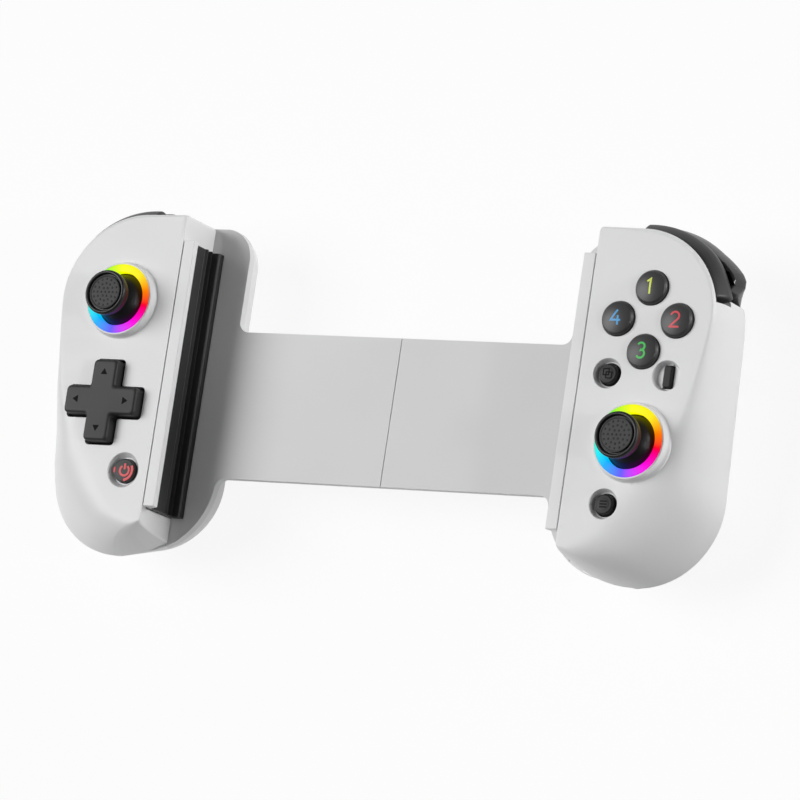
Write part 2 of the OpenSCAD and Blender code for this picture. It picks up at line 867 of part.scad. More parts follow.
// Open box on the board that guides the stick's carrier
module stick_housing(place) {
    at(place, board_top) difference() {
        translate([-housing_w / 2, -housing_w / 2, 0]) cube([housing_w, housing_w, housing_top - board_top]);
        translate([0, 0, housing_floor]) cylinder(r = carrier_r + pin_fit, h = 20);
    }
}

module left_stick_housing() {
    color(steel) on_left() stick_housing(left_stick);
}

module right_stick_housing() {
    color(steel) stick_housing(right_stick);
}

// Carrier that goes down when the stick is clicked, with two ears for the yoke
module stick_carrier(place) {
    at(place) difference() {
        union() {
            translate([0, 0, carrier_low]) cylinder(r = carrier_r, h = carrier_t);
            for (s = [-1, 1])
                translate([s * (ear_in + ear_t / 2), 0, (carrier_low + pivot_z + 1.4) / 2 + 0.5])
                    cube([ear_t, ear_w, pivot_z + 1.4 - carrier_low - 1], center = true);
        }
        translate([-10, 0, pivot_z]) rotate([0, 90, 0]) cylinder(r = yoke_pin_r + pin_fit, h = 20, $fn = 32);
    }
}

module left_stick_carrier() {
    color(charcoal) on_left() stick_carrier(left_stick);
}

module right_stick_carrier() {
    color(charcoal) stick_carrier(right_stick);
}

// Ring that turns on two pins along X and carries a cross pin along Y
module gimbal_ring(r, bore_r, h, pin_r, pin_end, cross_r) {
    difference() {
        union() {
            translate([0, 0, -h / 2]) cylinder(r = r, h = h);
            translate([-pin_end, 0, 0]) rotate([0, 90, 0]) cylinder(r = pin_r, h = 2 * pin_end, $fn = 32);
        }
        translate([0, 0, -h]) cylinder(r = bore_r, h = 2 * h);
        translate([0, -r - 1, 0]) rotate([-90, 0, 0]) cylinder(r = cross_r + pin_fit, h = 2 * r + 2, $fn = 32);
    }
}

module stick_yoke(place) {
    at(place, pivot_z) gimbal_ring(yoke_r, yoke_bore_r, yoke_h, yoke_pin_r, ear_in + ear_t, cross_pin_r);
}

module left_stick_yoke() {
    color(steel) on_left() stick_yoke(left_stick);
}

module right_stick_yoke() {
    color(steel) stick_yoke(right_stick);
}

module stick_shaft(place) {
    at(place) {
        translate([0, 0, pivot_z - 1.6]) cylinder(r = shaft_r, h = cap_top - 2.5 - pivot_z + 1.6);
        translate([0, -yoke_r, pivot_z]) rotate([-90, 0, 0]) cylinder(r = cross_pin_r, h = 2 * yoke_r, $fn = 32);
    }
}

module left_stick_shaft() {
    color(steel) on_left() stick_shaft(left_stick);
}

module right_stick_shaft() {
    color(steel) stick_shaft(right_stick);
}

// Dome, neck and dished cap in one moulding, pushed onto the shaft
module stick_cap(place) {
    r = cap_d / 2;
    neck_r = 3.4;
    dish_r = 5;
    at(place) difference() {
        union() {
            translate([0, 0, pivot_z]) sphere(r = dome_r);
            rotate_extrude() polygon([
                [0, pivot_z + dome_r - 3], [neck_r, pivot_z + dome_r - 3], [neck_r, cap_top - 4.6], [r - 1, cap_top - 3.6],
                [r, cap_top - 2.8], [r, cap_top - 0.7], [r - 0.6, cap_top], [dish_r + 0.3, cap_top],
                [dish_r, cap_top - 0.5], [0, cap_top - 0.9]
            ]);
        }
        translate([0, 0, pivot_z]) sphere(r = dome_r - dome_t);
        translate([0, 0, dome_low - 20]) cylinder(r = 20, h = 20);
        translate([0, 0, pivot_z]) cylinder(r = shaft_r, h = cap_top - 2.5 - pivot_z);
    }
}

module left_stick_cap() {
    color(black) on_left() stick_cap(left_stick);
}

module right_stick_cap() {
    color(black) stick_cap(right_stick);
}

module dpad_bracket() {
    color(charcoal) on_left() at(dpad) difference() {
        union() {
            translate([-bracket_l / 2, -bracket_w / 2, board_top])
                cube([bracket_l, bracket_w, dpad_pivot_z - board_top - 2.6]);
            for (s = [-1, 1])
                translate([s * (rocker_ear_in + rocker_ear_t / 2), 0, dpad_pivot_z - 1])
                    cube([rocker_ear_t, 3, 4.6], center = true);
        }
        translate([-10, 0, dpad_pivot_z]) rotate([0, 90, 0]) cylinder(r = rocker_pin_r + pin_fit, h = 20, $fn = 32);
    }
}

module dpad_rocker() {
    color(steel) on_left() at(dpad, dpad_pivot_z)
        gimbal_ring(rocker_r, rocker_bore_r, rocker_h, rocker_pin_r, rocker_ear_in + rocker_ear_t, rocker_pin_r);
}

// Cross with sides that lean out to its foot, on a stem with a cross pin
module dpad_cross() {
    rise = face_z + cross_rise - cross_foot_z;
    bevel = 1.2;
    stem_r = 1.5;
    color(charcoal) on_left() at(dpad) {
        translate([0, 0, cross_foot_z])
            cross_prism(cross_span + 2 * cross_draft, arm_w + 2 * cross_draft, rise - bevel);
        translate([0, 0, cross_foot_z + rise - bevel - eps]) cross_prism(cross_span + 0.6, arm_w + 0.6, bevel + eps);
        translate([0, 0, dpad_pivot_z - 1.2]) cylinder(r = stem_r, h = cross_foot_z - dpad_pivot_z + 1.3);
        translate([0, -rocker_r, dpad_pivot_z])
            rotate([-90, 0, 0]) cylinder(r = rocker_pin_r, h = 2 * rocker_r, $fn = 32);
    }
}

// Rubber sheet on a board, with a dome under each of four keys
module membrane(place, reach, dome_top) {
    at(place, board_top) {
        difference() {
            cylinder(r = reach + 2.5, h = 0.8);
            translate([0, 0, -1]) cylinder(r = reach - 2.3, h = 3);
        }
        for (a = [0:90:270])
            rotate(a) translate([reach, 0, 0]) {
                cylinder(r = 2.8, h = dome_top - board_top - 1.5);
                cylinder(r = 1.8, h = dome_top - board_top);
            }
    }
}

module dpad_membrane() {
    color(pale) on_left() membrane(dpad, dome_pad_reach, cross_foot_z - 1.6);
}

module button_membrane() {
    color(pale) membrane(face_buttons, button_pitch, flange_low - button_travel - 0.1);
}

// Small push switch standing on the board
module push_switch(place, top) {
    at(place, board_top) {
        translate([-2.2, -2.2, 0]) cube([4.4, 4.4, (top - board_top) * 0.6]);
        cylinder(r = 1.2, h = top - board_top, $fn = 32);
    }
}

// Switch beside a shoulder key, with its plunger pointing outwards
module key_switch(angle, z, reach) {
    foot = 16.8;
    front = 19.3;
    at([shoulder_x, shoulder_y]) rotate(angle) {
        translate([foot, -2, board_top]) cube([front - foot, 4, z + 1.3 - board_top]);
        translate([front - eps, 0, z]) rotate([0, 90, 0]) cylinder(r = 0.8, h = reach - front, $fn = 32);
    }
}

module stick_switch(place) {
    at(place, board_top + housing_floor) cylinder(r = 2, h = carrier_low - click_travel - 0.1 - board_top - housing_floor);
}

module grip_switches() {
    key_switch(42, bumper_low + 3.2, bumper_r - key_t - 1.1);
    key_switch(63, trigger_top - 2.4, trigger_r - key_t - 4.6);
}

module left_switches() {
    color(black) on_left() {
        grip_switches();
        stick_switch(left_stick);
        push_switch(power, small_low - small_travel - 0.1);
    }
}

module right_switches() {
    color(black) {
        grip_switches();
        stick_switch(right_stick);
        for (p = [view, mode, menu]) push_switch(p, small_low - small_travel - 0.1);
    }
}

module shell_screws() {
    for (b = boss_places) at(b, screw_seat_z) {
        translate([0, 0, -screw_head_t]) cylinder(r = screw_head_r, h = screw_head_t, $fn = 32);
        cylinder(r = screw_r, h = screw_l, $fn = 32);
    }
}

module left_shell_screws() {
    color(steel) on_left() shell_screws();
}

module right_shell_screws() {
    color(steel) shell_screws();
}

// Button with a domed top and a flange that stays under the face
module face_button(place) {
    top = face_z + button_rise;
    ball_r = 14;
    color(black) at(place) {
        translate([0, 0, flange_low]) cylinder(d = button_d + 2 * button_flange, h = flange_t);
        intersection() {
            translate([0, 0, flange_low]) cylinder(d = button_d, h = top - flange_low);
            translate([0, 0, top - ball_r]) sphere(r = ball_r, $fn = 96);
        }
    }
}

module top_button() {
    face_button(button_places[0]);
}

module left_button() {
    face_button(button_places[1]);
}

module right_button() {
    face_button(button_places[2]);
}

module bottom_button() {
    face_button(button_places[3]);
}

module small_button(place, d) {
    at(place, small_low) {
        cylinder(d = d + 2 * small_flange, h = small_flange_t);
        cylinder(d = d, h = face_z - small_sink - small_low);
    }
}

module power_button() {
    color(charcoal) on_left() small_button(power, power_d);
}

module view_button() {
    color(black) small_button(view, small_d);
}

module menu_button() {
    color(black) small_button(menu, small_d);
}

module mode_button() {
    color(black) at(mode, small_low) {
        translate([-key_w / 2, -small_d / 2, 0]) cube([key_w, small_d, face_z - small_sink - small_low]);
        cylinder(d = small_d + 2 * small_flange, h = small_flange_t);
    }
}

module key_pin() {
    at(key_pivot, bay_low - pin_depth) cylinder(r = key_pin_r, h = face_low - bay_low + pin_depth, $fn = 32);
}

module left_trigger_pin() {
    color(steel) on_left() key_pin();
}

module right_trigger_pin() {
    color(steel) key_pin();
}

// A key that follows the upper corner, turned about the corner's middle, with an eye for the pin
module shoulder_key(profile, end_angle, z_low, z_high) {
    difference() {
        union() {
            at([shoulder_x, shoulder_y]) rotate(end_angle) rotate_extrude(angle = key_start - end_angle) polygon(profile);
            at(key_pivot, z_low) cylinder(r = key_ear_r, h = z_high - z_low);
            at(key_pivot, z_low) translate([-key_ear_r, 0, 0]) cube([2 * key_ear_r, 3.5, z_high - z_low]);
            children();
        }
        at(key_pivot, z_low - 1) cylinder(r = key_pin_r + pin_fit, h = z_high - z_low + 2);
    }
}

module bumper() {
    inner = bumper_r - key_t;
    shoulder_key([
        [inner, bumper_low], [bumper_r - 0.4, bumper_low], [bumper_r, bumper_low + 0.8],
        [bumper_r, bumper_top - 2.4], [bumper_r - 1.2, bumper_top - 0.6], [bumper_r - 2.4, bumper_top],
        [inner, bumper_top]
    ], bumper_end, bumper_low + eye_step, face_low - part_gap);
}

module left_bumper() {
    color(charcoal) on_left() bumper();
}

module right_bumper() {
    color(charcoal) bumper();
}

// Trigger with a flared tip for the finger, and room under its eye for the spring
module trigger() {
    flare_low = trigger_low + 0.6;
    flare_top = trigger_top - eye_step / 2;
    eye_low = trigger_low + coil_h + 0.7;
    trigger_full = trigger_low + 0.62 * (trigger_top - trigger_low);
    difference() {
        shoulder_key([
            [trigger_in, trigger_low], [trigger_r - trigger_lean, trigger_low], [trigger_r, trigger_full],
            [trigger_r - trigger_tuck, trigger_top], [trigger_in, trigger_top]
        ], trigger_end, eye_low, trigger_top - eye_step)
            at([shoulder_x, shoulder_y], flare_low) intersection() {
                linear_extrude(flare_top - flare_low) polygon([
                    [17.5, 19.5], [18.6, 22.2], [24.5, 20.2], [27.2, 18.4], [28.4, 16.2], [28, 14.2], [25.4, 11.6],
                    [21, 11.4], [20.6, 15.5]
                ]);
                rotate_extrude() polygon([
                    [0, 0], [flare_r - trigger_lean, 0], [flare_r, trigger_full - flare_low],
                    [flare_r - trigger_tuck, flare_top - flare_low], [0, flare_top - flare_low]
                ]);
            }
        at(key_pivot, bay_low - 1) cylinder(r = coil_r + part_gap + 0.2, h = eye_low + 0.2 - bay_low + 1);
    }
}

module left_trigger() {
    color(black) on_left() trigger();
}

module right_trigger() {
    color(black) trigger();
}

// Torsion spring on the pin, with two legs
module trigger_spring() {
    leg_t = 0.5;
    at(key_pivot, trigger_low + 0.3) {
        difference() {
            cylinder(r = coil_r, h = coil_h);
            translate([0, 0, -1]) cylinder(r = key_pin_r + 0.3, h = coil_h + 2);
        }
        translate([-5, 0.1 - coil_r, 0.2]) cube([5, leg_t, leg_t]);
        translate([coil_r - leg_t, -0.75, coil_h - 0.7]) cube([4.5, leg_t, leg_t]);
    }
}

module left_trigger_spring() {
    color(steel) on_left() trigger_spring();
}

module right_trigger_spring() {
    color(steel) trigger_spring();
}

module charge_socket() {
    color(steel) difference() {
        socket_body(0);
        translate([0, 1.2, 0]) difference() {
            socket_body(-0.35);
            translate([socket_x - tongue_w / 2, 0, socket_z - tongue_t / 2]) cube([tongue_w, inner_top_y - 1.2, tongue_t]);
        }
    }
}

placed() left_front_shell();
placed() left_rear_shell();
placed() left_clamp_rail();
placed() left_rubber_pad();
placed() left_deck();
placed() left_tray();
placed() left_circuit_board();
placed() battery();
placed() left_light_ring();
placed() left_stick_housing();
placed() dpad_bracket();
placed() dpad_membrane();
placed() left_switches();
placed() left_trigger_pin();
placed() left_shell_screws();
placed() left_stick_carrier();
placed() left_stick_yoke();
placed() left_stick_shaft();
placed() left_stick_cap();
placed() dpad_rocker();
placed() dpad_cross();
placed() power_button();
placed() left_bumper();
placed() left_trigger();
placed() left_trigger_spring();
placed() right_front_shell();
placed() right_rear_shell();
placed() right_clamp_rail();
placed() right_rubber_pad();
placed() right_deck();
placed() right_tray();
placed() slider_plate();
placed() slider_screws();
placed() right_circuit_board();
placed() right_light_ring();
placed() right_stick_housing();
placed() button_membrane();
placed() right_switches();
placed() right_trigger_pin();
placed() right_shell_screws();
placed() charge_socket();
placed() right_stick_carrier();
placed() right_stick_yoke();
placed() right_stick_shaft();
placed() right_stick_cap();
placed() top_button();
placed() left_button();
placed() right_button();
placed() bottom_button();
placed() view_button();
placed() mode_button();
placed() menu_button();
placed() right_bumper();
placed() right_trigger();
placed() right_trigger_spring();
placed() bridge_springs();
placed() flex_cable();
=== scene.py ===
import math
import bmesh
import bpy
from mathutils import Euler, Matrix, Vector


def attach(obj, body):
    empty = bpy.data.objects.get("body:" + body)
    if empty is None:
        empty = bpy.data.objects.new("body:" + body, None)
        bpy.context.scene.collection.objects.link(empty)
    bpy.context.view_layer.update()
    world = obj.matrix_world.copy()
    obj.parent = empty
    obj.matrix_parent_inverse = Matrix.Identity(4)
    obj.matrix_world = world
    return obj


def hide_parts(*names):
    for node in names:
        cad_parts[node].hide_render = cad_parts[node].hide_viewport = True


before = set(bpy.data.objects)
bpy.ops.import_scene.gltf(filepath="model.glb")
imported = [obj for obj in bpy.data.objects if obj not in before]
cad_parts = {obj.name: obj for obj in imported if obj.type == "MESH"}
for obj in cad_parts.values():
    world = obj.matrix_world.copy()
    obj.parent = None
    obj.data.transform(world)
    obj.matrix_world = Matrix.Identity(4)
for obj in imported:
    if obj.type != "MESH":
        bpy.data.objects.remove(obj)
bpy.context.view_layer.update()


# Rear shells: the rounded backs that the fingers wrap round. Each is one hollow moulding of white plastic,
# stepped along its inner side for the deck, and screwed to the front shell from behind. Places here and below
# are in millimetres about the rail's middle, for the right grip, and the left grip mirrors them.
MM = 0.001
RAIL_Y = 0.5
SIDES = ((-1, "left"), (1, "right"))
COLUMNS = 240
MERGE = 1e-7
WALL, GAP = 2.2, 0.15
DECK_LOW, DECK_Z = 15.5, 18
GROOVE, LAND = 0.2, 0.25
SHOULDER, SHOULDER_R = (80, 20), 26.9
PALM, PALM_R = (83.7, -26.5), 24.5
WING = [(63.2, 37.8, 9.2), (*SHOULDER, SHOULDER_R, 1), (*PALM, PALM_R, 1), (76.3, -27, 22.3)]
BACK_INSET, BACK_LEAN, BACK_TURN = 13.5, 0.6, (60, 60)
REST_Z = 0.4
REST_PAD = [(0, 0), (0.6, 0), (1.5, 0.3), (1.8, 0.6), (1.8, 1.4), (0, 1.4)]
REST_PLACES = [(82, 26), (81.7, -29)]
SCREW_PLACES = [(72.3, 36), (72, -40), (98, -32), (98.5, 12)]
SCREW_SEAT, SHANK_HOLE_Z = 8.5, (8, 19)
REAR_POST_R, HEAD_HOLE_R, SHANK_HOLE_R = 3.8, 2.5, 1.15
TRAY_Y, TRAY_LOW = (-25, 15), 11.3
STEP = ((40, 67.6), (-80, 80), (DECK_LOW, 20))
NOTCH = ((49, 61), (TRAY_Y[0] - GAP, TRAY_Y[1] + GAP), (TRAY_LOW - GAP, 18.4))
TRIGGER_BAY, BUMPER_BAY = (18.5, 12.4, 26.81), (15, 26.8, 33.9)
BAY_END, BAY_R, REAR_BAY_R = 94, 48, 19.2


def ramp(t, start, length):
    """A smooth step from 0 to 1 that begins at a start and takes a length."""
    t = min(1, max(0, (t - start) / length))
    return t * t * (3 - 2 * t)


def around(x, y, r, angle):
    """The place at a radius and an angle in degrees about a middle."""
    a = math.radians(angle)
    return (x + r * math.cos(a), y + r * math.sin(a))


def arc(x, y, r, start, end, steps=24):
    """Places along an arc about a middle, between two angles in degrees."""
    return [around(x, y, r, start + (end - start) * k / steps) for k in range(steps + 1)]


def furthest(discs, angle):
    """The point of a hull of discs that lies furthest one way; a fourth value keeps a disc's outer half."""
    way = Vector((math.cos(angle), math.sin(angle)))
    points = []
    for x, y, r, *half in discs:
        if half and way.x < 0:
            points.append(Vector((x, y + math.copysign(r, way.y))))
        else:
            points.append(Vector((x, y)) + r * way)
    return max(points, key=way.dot)


def outline(discs, count=COLUMNS):
    return [furthest(discs, math.tau * (i + 0.5) / count) for i in range(count)]


def drawn_in(discs, by, least=0.4):
    """Discs made smaller, with tight corners moved inwards."""
    outer = max(d[0] for d in discs)
    smaller = []
    for x, y, r, *half in discs:
        move = max(0, by + least - r)
        inwards = move if x < outer else 0
        smaller.append((x + inwards, y - math.copysign(move, y), max(r - by, least), *half))
    return smaller


def level(points, z):
    return [Vector((*p, z)) for p in points]


def close_columns(rings, most=3):
    """The same rings with their long straight runs divided."""
    finer = [[] for _ in rings]
    count = len(rings[0])
    for i in range(count):
        gap = max((r[(i + 1) % count] - r[i]).length for r in rings)
        steps = max(1, math.ceil(gap / most))
        for k in range(steps):
            for r, f in zip(rings, finer):
                f.append(r[i].lerp(r[(i + 1) % count], k / steps))
    return finer


def new_object(name, data):
    piece = bpy.data.objects.new(name, data)
    bpy.context.scene.collection.objects.link(piece)
    return piece


def mesh_object(name, points, faces, side=1):
    """An object from points in millimetres about the rail's middle, mirrored for the left grip."""
    mesh = bpy.data.meshes.new(name)
    mesh.from_pydata([(side * p[0] * MM, (p[1] + RAIL_Y) * MM, p[2] * MM) for p in points], [], faces)
    bm = bmesh.new()
    bm.from_mesh(mesh)
    bmesh.ops.remove_doubles(bm, verts=bm.verts, dist=MERGE)
    bmesh.ops.dissolve_degenerate(bm, edges=bm.edges, dist=MERGE)
    bmesh.ops.delete(bm, geom=[e for e in bm.edges if not e.link_faces], context="EDGES")
    bmesh.ops.recalc_face_normals(bm, faces=bm.faces)
    bm.to_mesh(mesh)
    bm.free()
    return new_object(name, mesh)


def skinned(name, rings, side=1, loop=False):
    """A closed skin through rings of points; a loop joins the last ring to the first."""
    count = len(rings[0])
    total = len(rings)
    faces = []
    for k in range(total if loop else total - 1):
        for i in range(count):
            j = (i + 1) % count
            a, b = k * count, (k + 1) % total * count
            faces.append((a + i, a + j, b + j, b + i))
    if not loop:
        faces.append(tuple(range(count)))
        faces.append(tuple(range((total - 1) * count, total * count)))
    return mesh_object(name, [p for r in rings for p in r], faces, side)


def turned(name, profile, place, side=1, count=96, loop=False):
    """A turned shape from radii and heights, listed along its outline."""
    turns = [math.tau * i / count for i in range(count)]
    rings = []
    for r, z in profile:
        rings.append([(place[0] + r * math.cos(a), place[1] + r * math.sin(a), z) for a in turns])
    return skinned(name, rings, side, loop)


def rod(name, r, low, high, place, side=1, count=48):
    return turned(name, [(0, low), (r, low), (r, high), (0, high)], place, side, count)


def prism(name, points, low, high, side=1, along="Z"):
    """A thickness of constant section, along Z from points in X and Y, or along Y from points in X and Z."""
    if along == "Z":
        rings = [[(x, y, z) for x, y in points] for z in (low, high)]
    else:
        rings = [[(x, y, z) for x, z in points] for y in (low, high)]
    return skinned(name, rings, side)


def block(name, x, y, z, side=1):
    return prism(name, [(x[0], y[0]), (x[1], y[0]), (x[1], y[1]), (x[0], y[1])], *z, side)


def bake(piece):
    """Turns the modified shape into the piece's own mesh."""
    shape = piece.evaluated_get(bpy.context.evaluated_depsgraph_get())
    piece.data = bpy.data.meshes.new_from_object(shape)
    piece.modifiers.clear()
    return piece


def combine(piece, tools, operation):
    for tool in tools:
        modifier = piece.modifiers.new("shape", "BOOLEAN")
        modifier.operation = operation
        modifier.solver = "MANIFOLD"
        modifier.object = tool
        bake(piece)
        bpy.data.objects.remove(tool)
    return piece


def cut(piece, *tools):
    return combine(piece, tools, "DIFFERENCE")


def add(piece, *tools):
    return combine(piece, tools, "UNION")


def soften(piece, width, segments=2, angle=40):
    """Rounds the edges that turn by more than an angle."""
    modifier = piece.modifiers.new("edges", "BEVEL")
    modifier.width = width * MM
    modifier.segments = segments
    modifier.limit_method = "ANGLE"
    modifier.angle_limit = math.radians(angle)
    return bake(piece)


def finish_piece(piece, body, material, slot, *nodes, sharp=35):
    """Gives a piece its finish and the body it moves with, in place of solids."""
    piece.data.materials.clear()
    piece.data.materials.append(material)
    piece.data.shade_smooth()
    piece.data.set_sharp_from_angle(angle=math.radians(sharp))
    modifier = piece.modifiers.new("shading", "WEIGHTED_NORMAL")
    modifier.keep_sharp = True
    bake(piece)
    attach(piece, body)
    if nodes:
        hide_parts(*nodes)
    return piece


def add_sockets(tree, way, kinds):
    """Gives a tree of nodes its named inputs or outputs."""
    for label, kind in kinds.items():
        tree.interface.new_socket(label, in_out=way, socket_type="NodeSocket" + kind)


def set_inputs(node, values):
    for label, value in values.items():
        node.inputs[label].default_value = value
    return node


def join(source, output, target, socket):
    """Links one node's output to another node's input."""
    source.id_data.links.new(source.outputs[output], target.inputs[socket])


def math_node(nodes, operation, values=None):
    """A node that works with numbers; values are its constant inputs, by their places."""
    node = nodes.new("ShaderNodeMath")
    node.operation = operation
    return set_inputs(node, values or {})


def moulded_skin_group():
    """Slight unevenness of a moulded surface: a little colour and gloss in clouds, and a fine grain."""
    tree = bpy.data.node_groups.new("moulded_skin", "ShaderNodeTree")
    add_sockets(tree, "INPUT", {"Colour": "Color", "Tint": "Float", "Gloss": "Float", "Gloss range": "Float",
                                "Cloud scale": "Float", "Grain scale": "Float"})
    add_sockets(tree, "OUTPUT", {"Colour": "Color", "Roughness": "Float", "Height": "Float"})
    nodes = tree.nodes
    inlet = nodes.new("NodeGroupInput")
    outlet = nodes.new("NodeGroupOutput")
    place = nodes.new("ShaderNodeTexCoord")
    cloud = set_inputs(nodes.new("ShaderNodeTexNoise"), {"Detail": 3})
    grain = set_inputs(nodes.new("ShaderNodeTexNoise"), {"Detail": 2})
    centred = math_node(nodes, "SUBTRACT", {1: 0.5})
    shade = math_node(nodes, "MULTIPLY_ADD", {2: 1})
    gloss = math_node(nodes, "MULTIPLY_ADD")
    tint = nodes.new("ShaderNodeHueSaturation")
    join(place, "Object", cloud, "Vector")
    join(place, "Object", grain, "Vector")
    join(inlet, "Cloud scale", cloud, "Scale")
    join(inlet, "Grain scale", grain, "Scale")
    join(cloud, "Fac", centred, 0)
    join(centred, 0, shade, 0)
    join(inlet, "Tint", shade, 1)
    join(shade, 0, tint, "Value")
    join(inlet, "Colour", tint, "Color")
    join(centred, 0, gloss, 0)
    join(inlet, "Gloss range", gloss, 1)
    join(inlet, "Gloss", gloss, 2)
    join(tint, "Color", outlet, "Colour")
    join(gloss, 0, outlet, "Roughness")
    join(grain, "Fac", outlet, "Height")
    return tree


moulded_skin = moulded_skin_group()


def new_material(name):
    """A material with its nodes and its shader."""
    material = bpy.data.materials.new(name)
    material.use_nodes = True
    nodes = material.node_tree.nodes
    return material, nodes, nodes["Principled BSDF"]


def moulded(name, colour, roughness, tint=0.03, cloud=40, grain=2500, depth=0.01, metallic=0.0, specular=0.5):
    """A moulded finish from its colour, its roughness and the depth of its grain in millimetres."""
    material, nodes, shader = new_material(name)
    skin = nodes.new("ShaderNodeGroup")
    skin.node_tree = moulded_skin
    set_inputs(skin, {"Colour": (*colour, 1), "Tint": tint, "Gloss": roughness,
                      "Gloss range": roughness * 0.3, "Cloud scale": cloud, "Grain scale": grain})
    bump = set_inputs(nodes.new("ShaderNodeBump"), {"Strength": 0.5, "Distance": depth * MM})
    set_inputs(shader, {"Metallic": metallic, "Specular IOR Level": specular})
    join(skin, "Colour", shader, "Base Color")
    join(skin, "Roughness", shader, "Roughness")
    join(skin, "Height", bump, "Height")
    join(bump, "Normal", shader, "Normal")
    return material


def rear_levels(discs, floor, count, steps=22):
    """Rings of a back from its flat up to the deck, leaning straight outwards and rounded to the bridge."""
    rim, flat = outline(discs, count), outline(drawn_in(discs, BACK_INSET), count)
    rings = []
    for k in range(steps, -1, -1):
        depth = math.sin(math.pi / 2 * k / steps)
        ring = []
        for i, (a, b) in enumerate(zip(rim, flat)):
            way = abs((360 * (i + 0.5) / count + 180) % 360 - 180)
            power = 1 + ramp(way, *BACK_TURN)
            share = 1 - (1 - depth ** power) ** BACK_LEAN
            ring.append(Vector((*a.lerp(b, share), DECK_Z - (DECK_Z - floor) * depth)))
        rings.append(ring)
    return rings


def rim_levels(trace, discs, z, step):
    """The last two rings at the parting line, with a fine groove."""
    return [level(trace(discs), z + step), level(trace(drawn_in(discs, GROOVE)), z)]


def key_bays(inner, side):
    """Room for the trigger and, above it, the bumper: parts of two rings about the shoulder's middle."""
    bays = []
    for start, low, high in (TRIGGER_BAY, BUMPER_BAY):
        points = arc(*SHOULDER, inner, start, BAY_END, 48) + arc(*SHOULDER, BAY_R, BAY_END, start, 48)
        bays.append(prism("bay", points, low, high, side))
    return bays


white_plastic = moulded("white_plastic", (0.76, 0.76, 0.765), 0.42, tint=0.02, depth=0.006)
for side, word in SIDES:
    rings = rear_levels(WING, REST_Z, COLUMNS)[:-1] + rim_levels(outline, WING, DECK_Z, -LAND)
    shell = skinned(f"{word}_back", close_columns(rings), side)
    rings = rear_levels(drawn_in(WING, WALL), REST_Z + WALL, count=80, steps=10)
    rings.append([p + Vector((0, 0, 2)) for p in rings[-1]])
    hollow = skinned("hollow", close_columns(rings, most=6), side)
    cut(hollow, *(rod("post", REAR_POST_R, -1, DECK_Z, p, side) for p in SCREW_PLACES))
    cut(shell, hollow, *key_bays(REAR_BAY_R, side))
    cut(shell, block("step", *STEP, side))
    cut(shell, block("notch", *NOTCH, side))
    add(shell, *(turned("pad", REST_PAD, p, side, 32) for p in REST_PLACES))
    cut(shell, *(rod("recess", HEAD_HOLE_R, -1, SCREW_SEAT, p, side) for p in SCREW_PLACES))
    cut(shell, *(rod("bore", SHANK_HOLE_R, *SHANK_HOLE_Z, p, side, 32) for p in SCREW_PLACES))
    finish_piece(shell, f"{word}_grip", white_plastic, "white_shell", f"{word}_rear_shell")


# Bridge: two decks of pale plastic that the phone lies on, each with the wing that runs under its grip's
# rail. They meet at the middle, and trays behind them close the channel that the slider runs in.
BRIDGE_LOW, BRIDGE_HIGH = -26.6, 16.6
WING_X, WING_END, TAIL_END = 54, 67.5, 94.5
FILLET, MEETING = 3, 0.13
SEAT = ((62.8, 100), (-80, 80), (17.8, 19))
CHANNEL_Y, CHANNEL_Z = (-22.85, 12.85), (12.7, 16.6)
CHANNEL_END = {"left": 93.6, "right": 52.15}
PEG = [(0, 17), (1.8, 17), (1.8, 20.3), (1.6, 20.5), (0, 20.5)]
PEG_PLACES = [(x, y) for x in (73.8, 91) for y in (10, -22)]
SPRING_POST = [(0, 12), (0.8, 12), (0.8, 14.6), (0.6, 14.9), (0, 14.9)]
SPRING_POST_X, SPRING_Y = 90, (-16, 6)
BAR_SCREW_BORE = [(0, 10), (1.9, 10), (1.9, 12.1), (1, 12.1), (1, 14), (0, 14)]
BAR_SCREW_PLACES = [(x, y) for x in (14, 44) for y in (-13, 3)]


def deck_outline():
    """The deck from above: half of the bridge, its round inner corners, the wing and the tail in the grip."""
    wing = [p for p in outline(WING) if p.x < WING_END]
    upper = sorted((p for p in wing if p.y > BRIDGE_HIGH), key=lambda p: p.x)
    lower = sorted((p for p in wing if p.y < BRIDGE_LOW), key=lambda p: -p.x)
    points = [(MEETING, BRIDGE_HIGH)] + arc(WING_X - FILLET, BRIDGE_HIGH + FILLET, FILLET, -90, 0, 8)
    points += [tuple(p) for p in upper]
    points += [(WING_END, upper[-1].y), (WING_END, BRIDGE_HIGH), (TAIL_END, BRIDGE_HIGH)]
    points += [(TAIL_END, BRIDGE_LOW), (WING_END, BRIDGE_LOW), (WING_END, lower[0].y)]
    points += [tuple(p) for p in lower]
    return points + arc(WING_X - FILLET, BRIDGE_LOW - FILLET, FILLET, 0, 90, 8) + [(MEETING, BRIDGE_LOW)]


